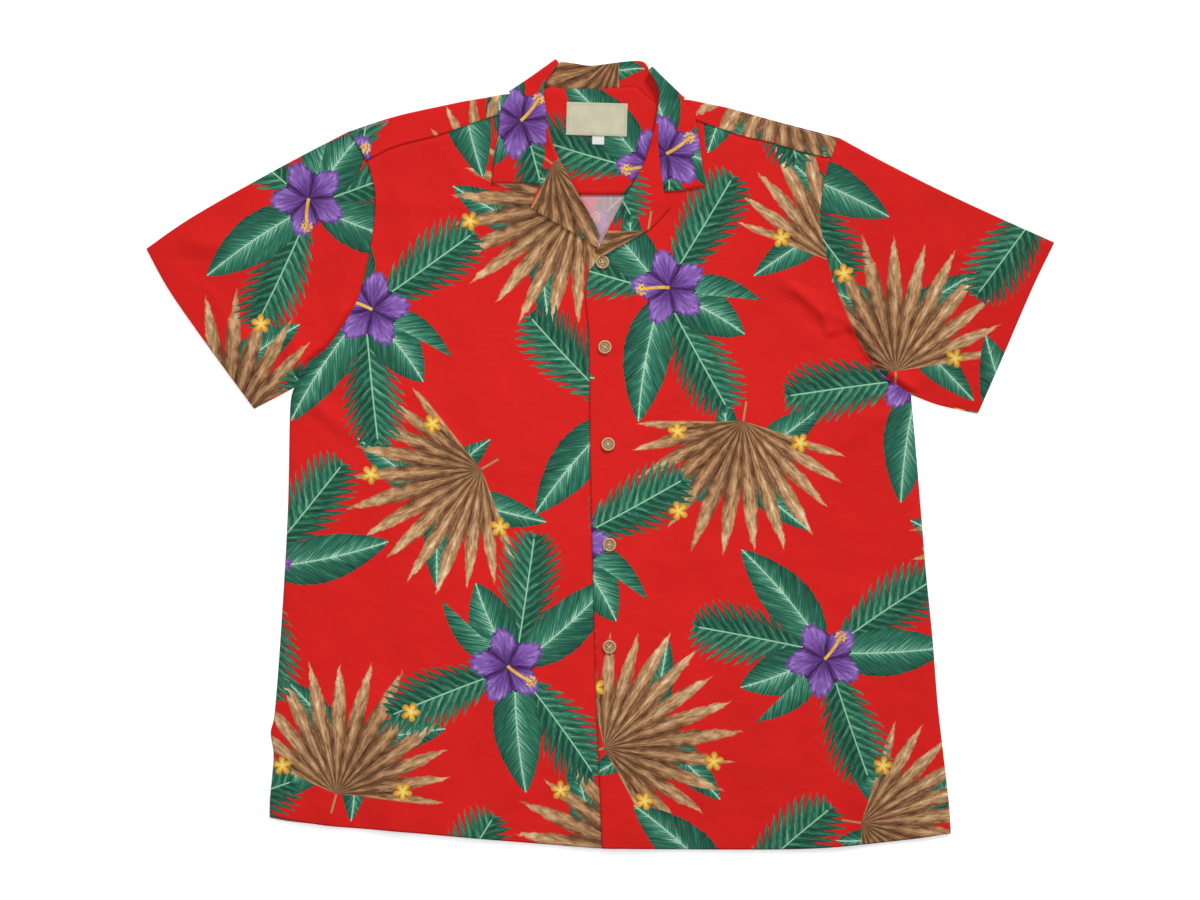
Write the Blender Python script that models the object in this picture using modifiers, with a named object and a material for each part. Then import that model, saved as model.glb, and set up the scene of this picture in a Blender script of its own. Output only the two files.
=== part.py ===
"""A hawaiian shirt with a camp collar and short sleeves, laid flat on its back and buttoned.

Every piece of cloth that a maker would cut is one object: a thin wall worked out from the outline
of the garment and from the height at which each layer lies. "Right" and "left" are the wearer's.
Outlines are in millimetres: across, to the wearer's left of the centre front, and up, from the
lowest point of the hem towards the collar. The objects themselves are in metres, face up (+Z),
with the collar towards +Y and the floor at z = 0.
"""

import math

import bmesh
import bpy
import numpy as np

MM = 0.001

# How the cloth is stacked, in millimetres
CLOTH = 1.2  # wall of one layer
SEAM_GAP = 0.3  # clear space between two pieces
PLY = CLOTH + SEAM_GAP  # from the middle of one layer to the middle of the next
FLOOR_LAYER = CLOTH / 2  # middle of a layer that rests on the floor
FRONT_REST = FLOOR_LAYER + PLY + 0.2  # middle of a front that lies on the back
OVERLAP_LIFT = PLY + 0.1  # the left front over the right one
TURN_RADIUS = 2.2  # of the roll at the neck, to the middle of the wall
FALL_LIFT = 1.8  # of the free edge of collar or lapel above what it lies on
TUCK = 5.0  # cloth of a lapel that runs on under its roll
COLLAR_BACK_RADIUS = 1.2  # of the roll where the collar lies folded behind the neck
STAND_LEVEL = 2.85  # middle of the collar's stand where it meets the yoke behind the neck
LINING_RISE = PLY + 0.15  # middle of the yoke lining above the middle of the yoke

# The outline of the garment: across, up
HEM = (
    (-330, 33), (-275, 24), (-215, 19), (-165, 14.5), (-83, 7.5), (2, 1), (110, 0), (213, 1),
    (301, 9), (350.5, 16),
)
RIGHT_SIDE = (
    (-330, 33), (-329.5, 53), (-326, 93), (-329, 117), (-325, 137), (-319, 213), (-312, 333),
    (-309.5, 441), (-305, 462),
)
LEFT_SIDE = (
    (350.5, 16), (348, 51), (341.5, 108), (337, 149), (332, 213), (326, 273), (320, 345),
    (315, 405), (310.5, 454.4),
)
RIGHT_SHOULDER = (
    (-252, 717), (-203, 733), (-151, 744.5), (-115, 752), (-101, 755), (-91, 756), (-78, 758.5),
    (-65, 763),
)
LEFT_SHOULDER = (
    (239, 711), (173, 728.5), (130, 740.5), (98, 748.5), (85, 750.5), (74, 749.3), (64.5, 746.8),
)
RIGHT_SLEEVE_TOP = ((-252, 717), (-321, 681), (-406, 633), (-453.5, 600.5))
LEFT_SLEEVE_TOP = ((239, 711), (295, 681), (369, 645), (454, 606.6))
RIGHT_SLEEVE_HEM = ((-345.5, 440), (-399, 513), (-432, 561), (-453.5, 600.5))
LEFT_SLEEVE_HEM = ((377.3, 435), (401, 489), (432, 561), (454, 606.6))
RIGHT_UNDERARM = ((-305, 462), (-320.8, 453), (-345.5, 440))
LEFT_UNDERARM = ((310.5, 454.4), (337.5, 444), (377.3, 435))

# Armholes, from the underarm up: the front below the yoke, the yoke's front, and the back
RIGHT_ARMHOLE = (
    (-305, 462), (-293, 484), (-271, 503), (-248, 537.5), (-238, 562), (-230, 597), (-225, 632),
    (-225, 660), (-233, 688),
)
LEFT_ARMHOLE = (
    (310.5, 454.4), (281, 475.5), (262, 501), (251.6, 522), (232.6, 570), (221, 619),
    (221, 650), (227, 680), (231, 691),
)
RIGHT_YOKE_END = ((-233, 688), (-241, 702), (-252, 717))
LEFT_YOKE_END = ((231, 691), (234.5, 701), (239, 711))
RIGHT_ARMHOLE_BACK = ((-305, 462), (-285, 489), (-260, 524), (-242, 564), (-234, 609), (-234, 655))
LEFT_ARMHOLE_BACK = ((310.5, 454.4), (290, 484), (266, 524), (246, 564), (232, 609), (229, 655))
RIGHT_YOKE_END_BACK = ((-234, 655), (-241, 691), (-252, 717))
LEFT_YOKE_END_BACK = ((229, 655), (233, 688), (239, 711))

# Seams of the yoke, behind and in front
BACK_SEAM_UP = 655
RIGHT_YOKE_SEAM = (
    (-233, 688), (-204, 702.3), (-162, 713.3), (-122.6, 726.7), (-101.5, 733.4), (-69, 741),
)
LEFT_YOKE_SEAM = (
    (231, 691), (206, 695.5), (167.6, 707), (145, 712), (108.4, 724), (90, 730.5), (71, 736),
)

# Free front edges, from the hem up. The right one lies under the left one.
RIGHT_EDGE = ((26, 1), (26, 250), (26, 462), (26, 535), (23, 568), (14, 593))
LEFT_EDGE = (
    (2, 1), (-4, 160), (-9, 350), (-10.5, 461), (-11, 510), (-14, 545), (-14, 562), (-11.5, 577),
)

# The roll line of each lapel beside its gorge, and then a row for each section from the notch down
# to the front edge: a point of the roll line, the point of the free edge that it faces, and how far
# that edge lies above the front.
# Columns: roll across, roll up, edge across, edge up, lift.
RIGHT_GORGE_ROLL = ((-49.6, 717.6), (-48.8, 711), (-45.6, 700.3), (-40.5, 690))
LEFT_GORGE_ROLL = ((53.8, 722.6), (51.4, 711), (47.2, 695.7), (41.5, 681))
RIGHT_LAPEL = (
    (-31, 673, -69.8, 640.3, 1.8),
    (-22, 655.5, -51, 629.6, 1.8),
    (-14.7, 642.4, -34, 619.8, 1.9),
    (-7.5, 629.5, -19, 611.3, 2.1),
    (-2, 620, -8.5, 604.7, 2.8),
    (1.8, 613, -3.2, 601.4, 3.2),
)
LEFT_LAPEL = (
    (31, 662, 70.4, 641, 1.8),
    (24, 650.5, 52, 621.5, 1.8),
    (16.5, 636, 34, 610, 2.0),
    (9.5, 622.5, 18, 601, 2.9),
    (3, 609.5, 7, 594.8, 4.2),
    (-1.5, 600, 1.5, 591.8, 4.3),
    (-4.8, 593.5, -2.6, 589.6, 4.3),
)

# Gorge seams, where collar meets lapel, from the notch up to the roll
RIGHT_GORGE = ((-60.3, 664.6), (-56.5, 686), (-53.6, 707), (-54.1, 719))
LEFT_GORGE = ((63.7, 657.4), (61.2, 674.3), (59.3, 692.7), (57.8, 712), (58.3, 724.2))

# The collar on the shirt: its roll line from the gorge up, its end from notch to point, its side
# from the point up, and its neck seam, first along the front and then along the yoke. Roll and side
# end at the line that the collar's crease turns round.
RIGHT_ROLL = (
    (-51.3, 719), (-52.6, 730), (-54.5, 745), (-56, 755), (-54.3, 764.5), (-49.3, 773.5),
    (-41.1, 785.6),
)
LEFT_ROLL = ((55.5, 724), (58.2, 745.4), (58.7, 753), (57.8, 760), (54.6, 768), (48.4, 778.2))
RIGHT_COLLAR_END = ((-60.3, 664.6), (-84, 664.8), (-108.5, 665))
LEFT_COLLAR_END = ((63.7, 657.4), (84, 658.5), (105, 662))
RIGHT_COLLAR_SIDE = (
    (-108.5, 665), (-105.5, 694), (-101.5, 713), (-100.4, 730), (-98.5, 740.5), (-94.6, 747.8),
    (-89.1, 754.3),
)
LEFT_COLLAR_SIDE = (
    (105, 662), (101, 690.3), (99.3, 705), (96.5, 722), (94.3, 733), (90.3, 740.3), (82.4, 747.9),
)
RIGHT_NECK_FRONT = ((-55.6, 719.3), (-59, 725), (-63, 733), (-65.8, 742))
RIGHT_NECK_YOKE = ((-65.8, 742), (-66.8, 750), (-66, 756), (-63.4, 760.4))
LEFT_NECK_FRONT = ((59.8, 724.3), (64.5, 725.8), (68.8, 730), (70.5, 735.5))
LEFT_NECK_YOKE = ((70.5, 735.5), (71, 739), (70.9, 742.5), (70, 746))

# The collar behind the neck, beneath the shirt, from right to left
BACK_ROLL = (
    (-41.1, 787.6), (-28, 786), (-10, 783.3), (6, 785), (21.5, 787), (36, 788.2), (44, 786.6),
    (48.4, 780.4),
)
BACK_COLLAR_EDGE = (
    (-89.1, 754.3), (-84, 746), (-62, 730), (-32, 721), (0, 718), (32, 720), (58, 728), (76, 740),
    (82.4, 747.9),
)
BACK_NECK = (
    (-48, 763), (-38, 760.5), (-18, 760.3), (5, 760.4), (33, 762), (40.7, 758.5), (47.5, 751.5),
    (57, 744.5),
)

# How many runs of the mesh each seam has, so that the pieces on both of its sides match
SIDE_STEPS = 12
ARMHOLE_STEPS = 19
ARMHOLE_BACK_STEPS = 8
YOKE_END_BACK_STEPS = 6
SHOULDER_STEPS = 13
NECK_FRONT_STEPS = 4
NECK_YOKE_STEPS = 5
BACK_NECK_STEPS = 7
FAN_STEPS = 2
GORGE_STATIONS = (0, 0.3, 0.6, 0.85, 1)

# Folds of the upper layer, a row for each ridge (or trough, where the height is negative).
# Columns: start across, start up, end across, end up, half width, height.
FOLDS = (
    (186, 566, 250, 523, 8, 2.2),
    (180, 548, 232, 538, 9, -1.0),
    (258, 250, 262, 50, 15, 2.6),
    (303, 270, 308, 90, 9, -1.3),
    (222, 205, 214, 20, 17, 1.8),
    (-285, 190, -268, 40, 15, 1.9),
    (-236, 150, -205, 30, 18, 1.7),
    (-296, 476, -318, 545, 8, 2.4),
    (-318, 470, -345, 540, 8, -1.2),
    (-255, 480, -185, 425, 13, 1.9),
    (-180, 455, -150, 400, 10, 1.4),
    (-185, 380, -178, 60, 34, 1.6),
    (150, 420, 160, 90, 36, 1.6),
    (-372, 520, -345, 470, 10, 1.7),
    (-400, 600, -330, 590, 22, 1.7),
    (330, 470, 365, 520, 9, 2.0),
    (350, 600, 405, 560, 20, 1.6),
    (-200, 640, -150, 560, 24, 1.4),
    (190, 640, 130, 570, 26, 1.3),
    (-90, 300, -84, 70, 26, 1.2),
    (80, 330, 86, 60, 26, 1.2),
)

# Buttons, from the top one down: across, up
BUTTONS = ((2.4, 586.6), (4.8, 501.8), (8.1, 404.8), (9.4, 304.4), (9.4, 202.6))
BUTTON_RADIUS = 6.7
BUTTON_THICKNESS = 2.1
BUTTON_RIM = 1.5  # width of the raised rim
BUTTON_DISH = 0.5  # depth of the middle below the rim
BUTTON_HOLE_RADIUS = 0.85
BUTTON_HOLE_SPACING = 2.6

COLLAR_TOP = 789.4  # up, the highest point of the folded collar

# Label and size tab at the back of the neck
LABEL_SIZE = (60.5, 33.0)
LABEL_MIDDLE = (-3.3, 729.2)
LABEL_TURN = math.radians(-1.7)
LABEL_THICKNESS = 0.6
TAB_SIZE = (12.0, 8.2)
TAB_THICKNESS = 0.4
TAB_MIDDLE = (-1.9, 708.1)

# The middle of the garment's box in the outline's own measure, which becomes the origin
MIDDLE_ACROSS = (RIGHT_SLEEVE_HEM[-1][0] + LEFT_SLEEVE_HEM[-1][0]) / 2
MIDDLE_UP = (COLLAR_TOP + min(up for across, up in HEM)) / 2

RED = (0.74, 0.02, 0.014, 1)
CREAM = (0.62, 0.58, 0.44, 1)
WHITE = (0.8, 0.8, 0.78, 1)
WOOD = (0.43, 0.27, 0.12, 1)


# --- curves and patches -----------------------------------------------------------------------


def smooth(points):
    """A dense Catmull-Rom curve through the points, as an array of across, up."""
    p = np.asarray(points, float)
    if len(p) == 2:
        return p
    padded = np.vstack([2 * p[0] - p[1], p, 2 * p[-1] - p[-2]])
    t = np.linspace(0, 1, 12, endpoint=False)[:, None]
    runs = []
    for a, b, c, d in zip(padded[:-3], padded[1:-2], padded[2:-1], padded[3:]):
        runs.append(
            0.5
            * (2 * b + (c - a) * t + (2 * a - 5 * b + 4 * c - d) * t**2 + (3 * b - a - 3 * c + d) * t**3)
        )
    return np.vstack(runs + [p[-1:]])


def along(points, fractions):
    """Points at the given fractions of the length of the smooth curve through the points."""
    line = smooth(points)
    length = np.concatenate([[0], np.cumsum(np.linalg.norm(np.diff(line, axis=0), axis=1))])
    wanted = np.asarray(fractions) * length[-1]
    return np.column_stack([np.interp(wanted, length, line[:, k]) for k in (0, 1)])


def spaced(points, steps):
    """steps + 1 points, evenly spaced along the smooth curve through the given ones."""
    return along(points, np.linspace(0, 1, steps + 1))


def chain(*runs):
    """Curves end to end as one row of points: each run is its points and its number of steps."""
    rows = [spaced(points, steps) for points, steps in runs]
    return np.vstack([rows[0]] + [row[1:] for row in rows[1:]])


def left_of(line):
    """Unit vectors to the left of the way a line runs."""
    run = np.gradient(line, axis=0)
    run /= np.linalg.norm(run, axis=1)[:, None]
    return np.column_stack([-run[:, 1], run[:, 0]])


def moved(line, distance):
    """The line shifted sideways, to the left of the way it runs."""
    return line + distance * left_of(line)


def shares(line):
    """How far along a line of straight runs each of its points is, from 0 to 1."""
    length = np.concatenate([[0], np.cumsum(np.linalg.norm(np.diff(line, axis=0), axis=1))])
    return length / length[-1]


def patch(start, end, first, last):
    """Points spread between four edges (a Coons patch).

    start and end are the rows at the bottom and the top, first and last the columns at their ends.
    """
    v = ((shares(first) + shares(last)) / 2)[:, None, None]
    u = ((shares(start) + shares(end)) / 2)[None, :, None]
    between_rows = (1 - v) * start[None] + v * end[None]
    between_columns = (1 - u) * first[:, None] + u * last[:, None]
    corners = (1 - v) * ((1 - u) * start[0] + u * start[-1]) + v * ((1 - u) * end[0] + u * end[-1])
    return between_rows + between_columns - corners


def ease(value, low, high):
    """0 below low, 1 above high, and a smooth step between them."""
    t = np.clip((value - low) / (high - low), 0, 1)
    return t * t * (3 - 2 * t)


def distance_to(points, line):
    """How far each point is from a line of straight runs."""
    a, b = line[:-1], line[1:]
    along = b - a
    offset = points[..., None, :] - a
    t = np.clip((offset * along).sum(-1) / (along * along).sum(-1), 0, 1)
    return np.linalg.norm(offset - t[..., None] * along, axis=-1).min(-1)


# --- the height at which each layer lies ---------------------------------------------------------

RIGHT_OUTLINE = chain(
    (RIGHT_SIDE, 12), (RIGHT_UNDERARM, 4), (RIGHT_SLEEVE_HEM, 4), (RIGHT_SLEEVE_TOP[::-1], 8),
    (RIGHT_SHOULDER, 10),
)
LEFT_OUTLINE = chain(
    (LEFT_SIDE, 12), (LEFT_UNDERARM, 4), (LEFT_SLEEVE_HEM, 4), (LEFT_SLEEVE_TOP[::-1], 8),
    (LEFT_SHOULDER, 10),
)


def over_collar(p):
    """1 where the folded collar lies beneath the yoke, easing to 0 around it."""
    radius = np.hypot((p[..., 0] + 3) / 110, (p[..., 1] - 757) / 52)
    return 1 - ease(radius, 0.95, 1.25)


def back_level(p):
    """Middle of a layer that lies on the floor, or on the folded collar near the neck."""
    return FLOOR_LAYER + PLY * over_collar(p)


def folds(p):
    """Soft ridges and troughs: a bell across each fold, which dies away past both of its ends."""
    height = np.zeros(p.shape[:-1])
    for x0, y0, x1, y1, half_width, peak in FOLDS:
        start, end = np.array([x0, y0]), np.array([x1, y1])
        height += peak * np.exp(-((distance_to(p, np.array([start, end])) / half_width) ** 2))
    placket = np.exp(-(((p[..., 0] - 8) / 42) ** 2))
    neck = np.exp(-((np.hypot(p[..., 0], (p[..., 1] - 690)) / 120) ** 4))
    return height * (1 - placket) * (1 - neck)


def front_level(p):
    """Middle of the upper layer: what it rests on, plus its own softness away from the edges."""
    yoke_lining = ease(p[..., 1], 628, 652) * (1 - ease(np.abs(p[..., 0]), 262, 340))
    rest = FRONT_REST + PLY * yoke_lining + PLY * over_collar(p)
    neck = np.exp(-((np.hypot(p[..., 0], p[..., 1] - 735) / 105) ** 2))
    edge = np.minimum(distance_to(p, RIGHT_OUTLINE), distance_to(p, LEFT_OUTLINE))
    softness = 1.1 + 1.4 * neck + folds(p)
    return rest + np.maximum(softness, 0) * (1 - np.exp(-edge / 15))


def left_front_level(p):
    """The left front lies on the right one at the placket, and level with it elsewhere."""
    return front_level(p) + OVERLAP_LIFT * (1 - ease(p[..., 0], 32, 60))


def raised(p, level):
    """Points across, up with their height: across, up, height."""
    return np.concatenate([p, level[..., None]], axis=-1)


# --- from a grid of points to a solid piece -------------------------------------------------------


def material(name, colour, roughness):
    made = bpy.data.materials.new(name)
    made.use_nodes = True
    shader = made.node_tree.nodes["Principled BSDF"]
    shader.inputs["Base Color"].default_value = colour
    shader.inputs["Roughness"].default_value = roughness
    return made


def sheet_faces(rows, columns, closed):
    """Quads of a grid of points. A closed grid's last column joins its first."""
    faces = []
    for row in range(rows - 1):
        for column in range(columns if closed else columns - 1):
            after = (column + 1) % columns
            a, b = row * columns + column, row * columns + after
            faces.append((a, b, b + columns, a + columns))
    return faces


def piece(name, grids, colour, collection, thickness=CLOTH, closed=False):
    """One piece of cloth: grids of middle-surface points, joined where they meet, given a wall."""
    mesh = bpy.data.meshes.new(name)
    build = bmesh.new()
    for grid in grids:
        rows, columns = grid.shape[:2]
        points = grid.reshape(-1, 3) - (MIDDLE_ACROSS, MIDDLE_UP, 0)
        corners = [build.verts.new(point) for point in points * MM]
        for face in sheet_faces(rows, columns, closed):
            build.faces.new([corners[k] for k in face])
    bmesh.ops.remove_doubles(build, verts=build.verts, dist=0.00001)
    bmesh.ops.recalc_face_normals(build, faces=build.faces)
    build.to_mesh(mesh)
    build.free()
    mesh.materials.append(material(name, colour, 0.85))
    mesh.shade_smooth()
    made = bpy.data.objects.new(name, mesh)
    collection.objects.link(made)
    wall = made.modifiers.new("cloth", "SOLIDIFY")
    wall.thickness = thickness * MM
    wall.offset = 0
    return made


# --- body ---------------------------------------------------------------------------------------


def back(collection):
    """The back below the yoke, flat on the floor."""
    steps = 10
    right = chain((RIGHT_SIDE, SIDE_STEPS), (RIGHT_ARMHOLE_BACK, ARMHOLE_BACK_STEPS))
    left = chain((LEFT_SIDE, SIDE_STEPS), (LEFT_ARMHOLE_BACK, ARMHOLE_BACK_STEPS))
    right, left = moved(right, -SEAM_GAP / 2), moved(left, SEAM_GAP / 2)
    right[-1, 1] = left[-1, 1] = BACK_SEAM_UP - SEAM_GAP / 2
    hem = spaced(HEM, steps)
    hem[0], hem[-1] = right[0], left[0]
    flat = patch(hem, spaced([right[-1], left[-1]], steps), right, left)
    return piece("back", [raised(flat, back_level(flat))], RED, collection)


def lapel_lines(roll_at_gorge, gorge, table, side):
    """Roll, crest, free edge and lift of a lapel, a row for each of its sections.

    The crest is where the fall begins to turn over the roll. side is -1 for the wearer's right
    lapel and 1 for the left one.
    """
    table = np.array(table)
    stations = np.array(GORGE_STATIONS[::-1])
    roll = np.vstack([spaced(roll_at_gorge, len(stations) - 1), table[:, :2]])
    seam = moved(along(gorge, np.minimum(stations, 0.975))[::-1], side * 1.5 * SEAM_GAP)[::-1]
    edge = np.vstack([seam, table[:, 2:4]])
    lift = np.concatenate([FALL_LIFT + (2 * TURN_RADIUS - FALL_LIFT) * stations**2, table[:, 4]])
    outward = -side * left_of(roll)
    crest = roll - outward * (TURN_RADIUS + CLOTH / 2)
    return roll, crest, edge, lift, outward


def lapel_tuck(crest, edge, outward):
    """Where the cloth that runs on under the roll of a lapel ends."""
    width = np.linalg.norm(edge - crest, axis=1)[:, None]
    return crest - outward * np.clip(width - 0.5, 0.6, TUCK)


def front(name, side, armhole, yoke_seam, free_edge, lapel_rows, neck, hem, turn, level, collection):
    """A front, from its side seam to its free edge, and from the hem to the yoke.

    The edge that faces the other front runs up the placket, under the lapel and round the neck.
    turn is -1 for the wearer's right front and 1 for the left one.
    """
    roll, crest, edge, lift, outward = lapel_rows
    under_lapel = lapel_tuck(crest, edge, outward)[::-1] - outward[::-1] * 1.4 * SEAM_GAP
    neck_edge = moved(spaced(neck, NECK_FRONT_STEPS), -turn * 1.5 * SEAM_GAP)
    lower = [point for point in free_edge if point[1] <= 470]
    upper = [point for point in free_edge if point[1] >= 461]
    upper = spaced(upper, ARMHOLE_STEPS - len(under_lapel) - len(neck_edge))
    inner = np.vstack([spaced(lower, SIDE_STEPS)[:-1], upper, under_lapel, neck_edge])
    outer = moved(chain((side, SIDE_STEPS), (armhole, ARMHOLE_STEPS)), turn * SEAM_GAP / 2)
    top = moved(spaced(yoke_seam, SHOULDER_STEPS), turn * SEAM_GAP / 2)
    bottom = spaced(hem, SHOULDER_STEPS)
    outer[0], inner[0] = bottom[0], bottom[-1]
    outer[-1] = top[0] = outer[-1] + top[0] - armhole[-1]
    top[-1] = inner[-1]
    flat = patch(bottom, top, outer, inner)
    return piece(name, [raised(flat, level(flat))], RED, collection)


def fronts(collection):
    right_hem = [point for point in HEM if point[0] <= 2] + [(26, 1)]
    left_hem = [point for point in HEM if point[0] >= 2][::-1]
    right_lapel = lapel_lines(RIGHT_GORGE_ROLL, RIGHT_GORGE, RIGHT_LAPEL, -1)
    left_lapel = lapel_lines(LEFT_GORGE_ROLL, LEFT_GORGE, LEFT_LAPEL, 1)
    front(
        "front_right", RIGHT_SIDE, RIGHT_ARMHOLE, RIGHT_YOKE_SEAM, RIGHT_EDGE, right_lapel,
        RIGHT_NECK_FRONT, right_hem, -1, front_level, collection,
    )
    front(
        "front_left", LEFT_SIDE, LEFT_ARMHOLE, LEFT_YOKE_SEAM, LEFT_EDGE, left_lapel,
        LEFT_NECK_FRONT, left_hem, 1, left_front_level, collection,
    )
    lapel("lapel_right", right_lapel, front_level, collection)
    lapel("lapel_left", left_lapel, left_front_level, collection)


# --- yoke ---------------------------------------------------------------------------------------


def turned_over(low, high, outward, steps):
    """The half circle that joins a lower row of points to the upper row straight above it."""
    middle = (low + high) / 2
    radius = (high[:, 2] - low[:, 2])[:, None] / 2
    rows = []
    for angle in np.linspace(-math.pi / 2, math.pi / 2, steps + 2)[1:-1]:
        shift = np.column_stack([outward * math.cos(angle), np.full(len(outward), math.sin(angle))])
        rows.append(middle + radius * shift)
    return rows


def yoke_behind(fold, end_back, neck, side):
    """The half of the yoke behind one shoulder: from its back seam up to the shoulder fold.

    The top row follows the fold and ends at the neck. The last column meets the yoke's middle.
    """
    outer = moved(spaced(end_back, YOKE_END_BACK_STEPS), side * SEAM_GAP / 2)
    outer[0, 1] = BACK_SEAM_UP + SEAM_GAP / 2
    outer[-1] = fold[0]
    seam = spaced([outer[0], (neck[0], outer[0, 1])], len(fold))
    column = spaced([seam[-1], neck], YOKE_END_BACK_STEPS)
    return patch(seam, np.vstack([fold, neck]), outer, column)


def shoulder_fold(shoulder, side, further_in=0):
    """The line that the fold of a shoulder turns round, and unit vectors out from it."""
    line = spaced(shoulder, SHOULDER_STEPS)
    radius = (front_level(line) - back_level(line)) / 2
    inset = radius + CLOTH / 2 + PLY * over_collar(line) + further_in
    outward = -side * left_of(line)
    return line - outward * inset[:, None], outward


def wing(shoulder, end_back, end_front, seam, neck_yoke, neck_back, side):
    """One half of the yoke: up the back from its seam, over the shoulder and down to the front."""
    neck_edge = moved(spaced(neck_yoke, NECK_YOKE_STEPS), -side * 1.5 * SEAM_GAP)[::-1]
    fold, outward = shoulder_fold(shoulder, side)
    fold[0] -= (side * 1.5 * SEAM_GAP, 0)
    fold[-1] = neck_edge[0] + (side * 2.0, -0.6)
    behind = yoke_behind(fold, end_back, neck_back, side)
    behind = raised(behind, back_level(behind))

    outer = moved(spaced(end_front[::-1], NECK_YOKE_STEPS), -side * SEAM_GAP / 2)
    corner = outer[-1] - seam[0]
    seam = moved(spaced(seam, SHOULDER_STEPS), -side * SEAM_GAP / 2)
    neck_edge[-1] += (0, SEAM_GAP)
    outer[-1] = seam[0] = seam[0] + corner
    outer[0], neck_edge[0], seam[-1] = fold[0], fold[-1], neck_edge[-1]
    before = patch(fold, seam, outer, neck_edge)
    before = raised(before, front_level(before))
    low = behind[-1, :-1]
    return behind, np.vstack([[low], turned_over(low, before[0], outward, 3), before])


def yoke_middle(right, left, neck):
    """The part of the yoke behind the neck, between its two halves."""
    right_column, left_column = right[:, -1, :2], left[:, -1, :2]
    seam = spaced([right_column[0], left_column[0]], len(neck) - 1)
    return patch(seam, neck, right_column, left_column)


def yoke(collection):
    """The yoke in one piece: a middle behind the neck and a wing over each shoulder."""
    neck = moved(spaced(BACK_NECK, BACK_NECK_STEPS), -1.5 * SEAM_GAP)
    right, right_over = wing(
        RIGHT_SHOULDER, RIGHT_YOKE_END_BACK, RIGHT_YOKE_END, RIGHT_YOKE_SEAM, RIGHT_NECK_YOKE,
        neck[0], -1,
    )
    left, left_over = wing(
        LEFT_SHOULDER, LEFT_YOKE_END_BACK, LEFT_YOKE_END, LEFT_YOKE_SEAM, LEFT_NECK_YOKE, neck[-1], 1,
    )
    middle = yoke_middle(right, left, neck)
    middle = raised(middle, back_level(middle))
    return piece("yoke", [right, right_over, middle, left, left_over], RED, collection)


def yoke_lining(collection):
    """The inner yoke, which shows inside the neck. It ends just short of the shoulder folds."""
    neck = moved(spaced(BACK_NECK, BACK_NECK_STEPS), -1.5 * SEAM_GAP)
    right_top, outward = shoulder_fold(RIGHT_SHOULDER, -1, further_in=4)
    left_top, outward = shoulder_fold(LEFT_SHOULDER, 1, further_in=4)
    right = yoke_behind(right_top, RIGHT_YOKE_END_BACK, neck[0], -1)
    left = yoke_behind(left_top, LEFT_YOKE_END_BACK, neck[-1], 1)
    flats = (right, yoke_middle(right, left, neck), left)
    grids = [raised(flat, back_level(flat) + LINING_RISE) for flat in flats]
    return piece("yoke_lining", grids, RED, collection)


# --- neck ---------------------------------------------------------------------------------------


def half_round(start, end, outward, steps):
    """Points on the half circle from start to end, bulging outward, without its two ends."""
    middle, arm = (start + end) / 2, (start - end) / 2
    radius = np.linalg.norm(arm, axis=-1, keepdims=True)
    angles = np.linspace(0, math.pi, steps + 1)[1:-1]
    return [middle + arm * math.cos(a) + outward * radius * math.sin(a) for a in angles]


def lapel(name, rows, level, collection):
    """A lapel: its free edge, the fall up to the roll, the roll, and a tuck of cloth under it."""
    roll, crest, edge, lift, outward = rows
    grid = []
    for t in (0, 0.25, 0.5, 0.75, 1):
        p = edge + (crest - edge) * t
        grid.append(raised(p, level(p) + lift + (2 * TURN_RADIUS - lift) * t**2))
    inside = grid[-1] - (0, 0, 2 * TURN_RADIUS)
    outward_level = np.column_stack([outward, np.zeros(len(outward))])
    grid += half_round(grid[-1], inside, outward_level, 4)
    tuck = lapel_tuck(crest, edge, outward)
    grid += [inside, raised(tuck, level(tuck))]
    return piece(name, [np.array(grid)], RED, collection)


def section(edge, roll, neck, on_top, gorge=None):
    """One section of the collar, from its free edge over the roll to the neck seam."""
    outward = (roll - neck) / np.linalg.norm(roll - neck)
    radius = TURN_RADIUS if on_top else COLLAR_BACK_RADIUS
    crest = roll - outward * (radius + CLOTH / 2)
    t = np.array(GORGE_STATIONS)
    fall = edge + (crest - edge) * t[:, None] if gorge is None else along(gorge, t)
    if on_top:
        fall = raised(fall, front_level(fall) + FALL_LIFT + (2 * radius - FALL_LIFT) * t**2)
        inside = fall[-1] - (0, 0, 2 * radius)
        seam = np.array([*neck, float(front_level(neck))])
    else:
        fall = raised(fall, np.full(len(t), FLOOR_LAYER))
        inside = fall[-1] + (0, 0, 2 * radius)
        seam = np.array([*neck, STAND_LEVEL])
    turn = half_round(fall[-1], inside, np.array([*outward, 0]), 4)
    stand = [inside + (seam - inside) * share for share in (0, 0.5, 1)]
    return np.vstack([fall, turn, stand])


def folded_sections(edge, roll, neck, side, steps):
    """The sections of the collar round its crease, from on top of the shirt to beneath it."""
    upper, lower = section(edge, roll, neck, True), section(edge, roll, neck, False)
    run = roll - edge
    outward = side * np.array([run[1], -run[0]]) / np.linalg.norm(run)
    upper[:, :2] = lower[:, :2] = (upper[:, :2] + lower[:, :2]) / 2
    return [upper] + half_round(upper, lower, np.array([*outward, 0]), steps) + [lower]


def front_sections(end, side, roll, neck_front, neck_yoke, gorge):
    """Sections of the collar on the shirt, from the gorge up, and the lines at its crease."""
    neck = chain((neck_front, NECK_FRONT_STEPS), (neck_yoke, NECK_YOKE_STEPS))
    beside_neck = np.linspace(0, 0.66, len(neck))
    roll = along(roll, np.concatenate([beside_neck, np.linspace(0.66, 1, FAN_STEPS + 1)[1:]]))
    neck = np.vstack([neck, np.tile(neck[-1], (FAN_STEPS, 1))])
    edge = chain((end, 2), (side, len(roll) - 3))
    made = [section(edge[0], roll[0], neck[0], True, gorge)]
    made += [section(edge[k], roll[k], neck[k], True) for k in range(1, len(edge) - 1)]
    return made, (edge[-1], roll[-1], neck[-1])


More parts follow.
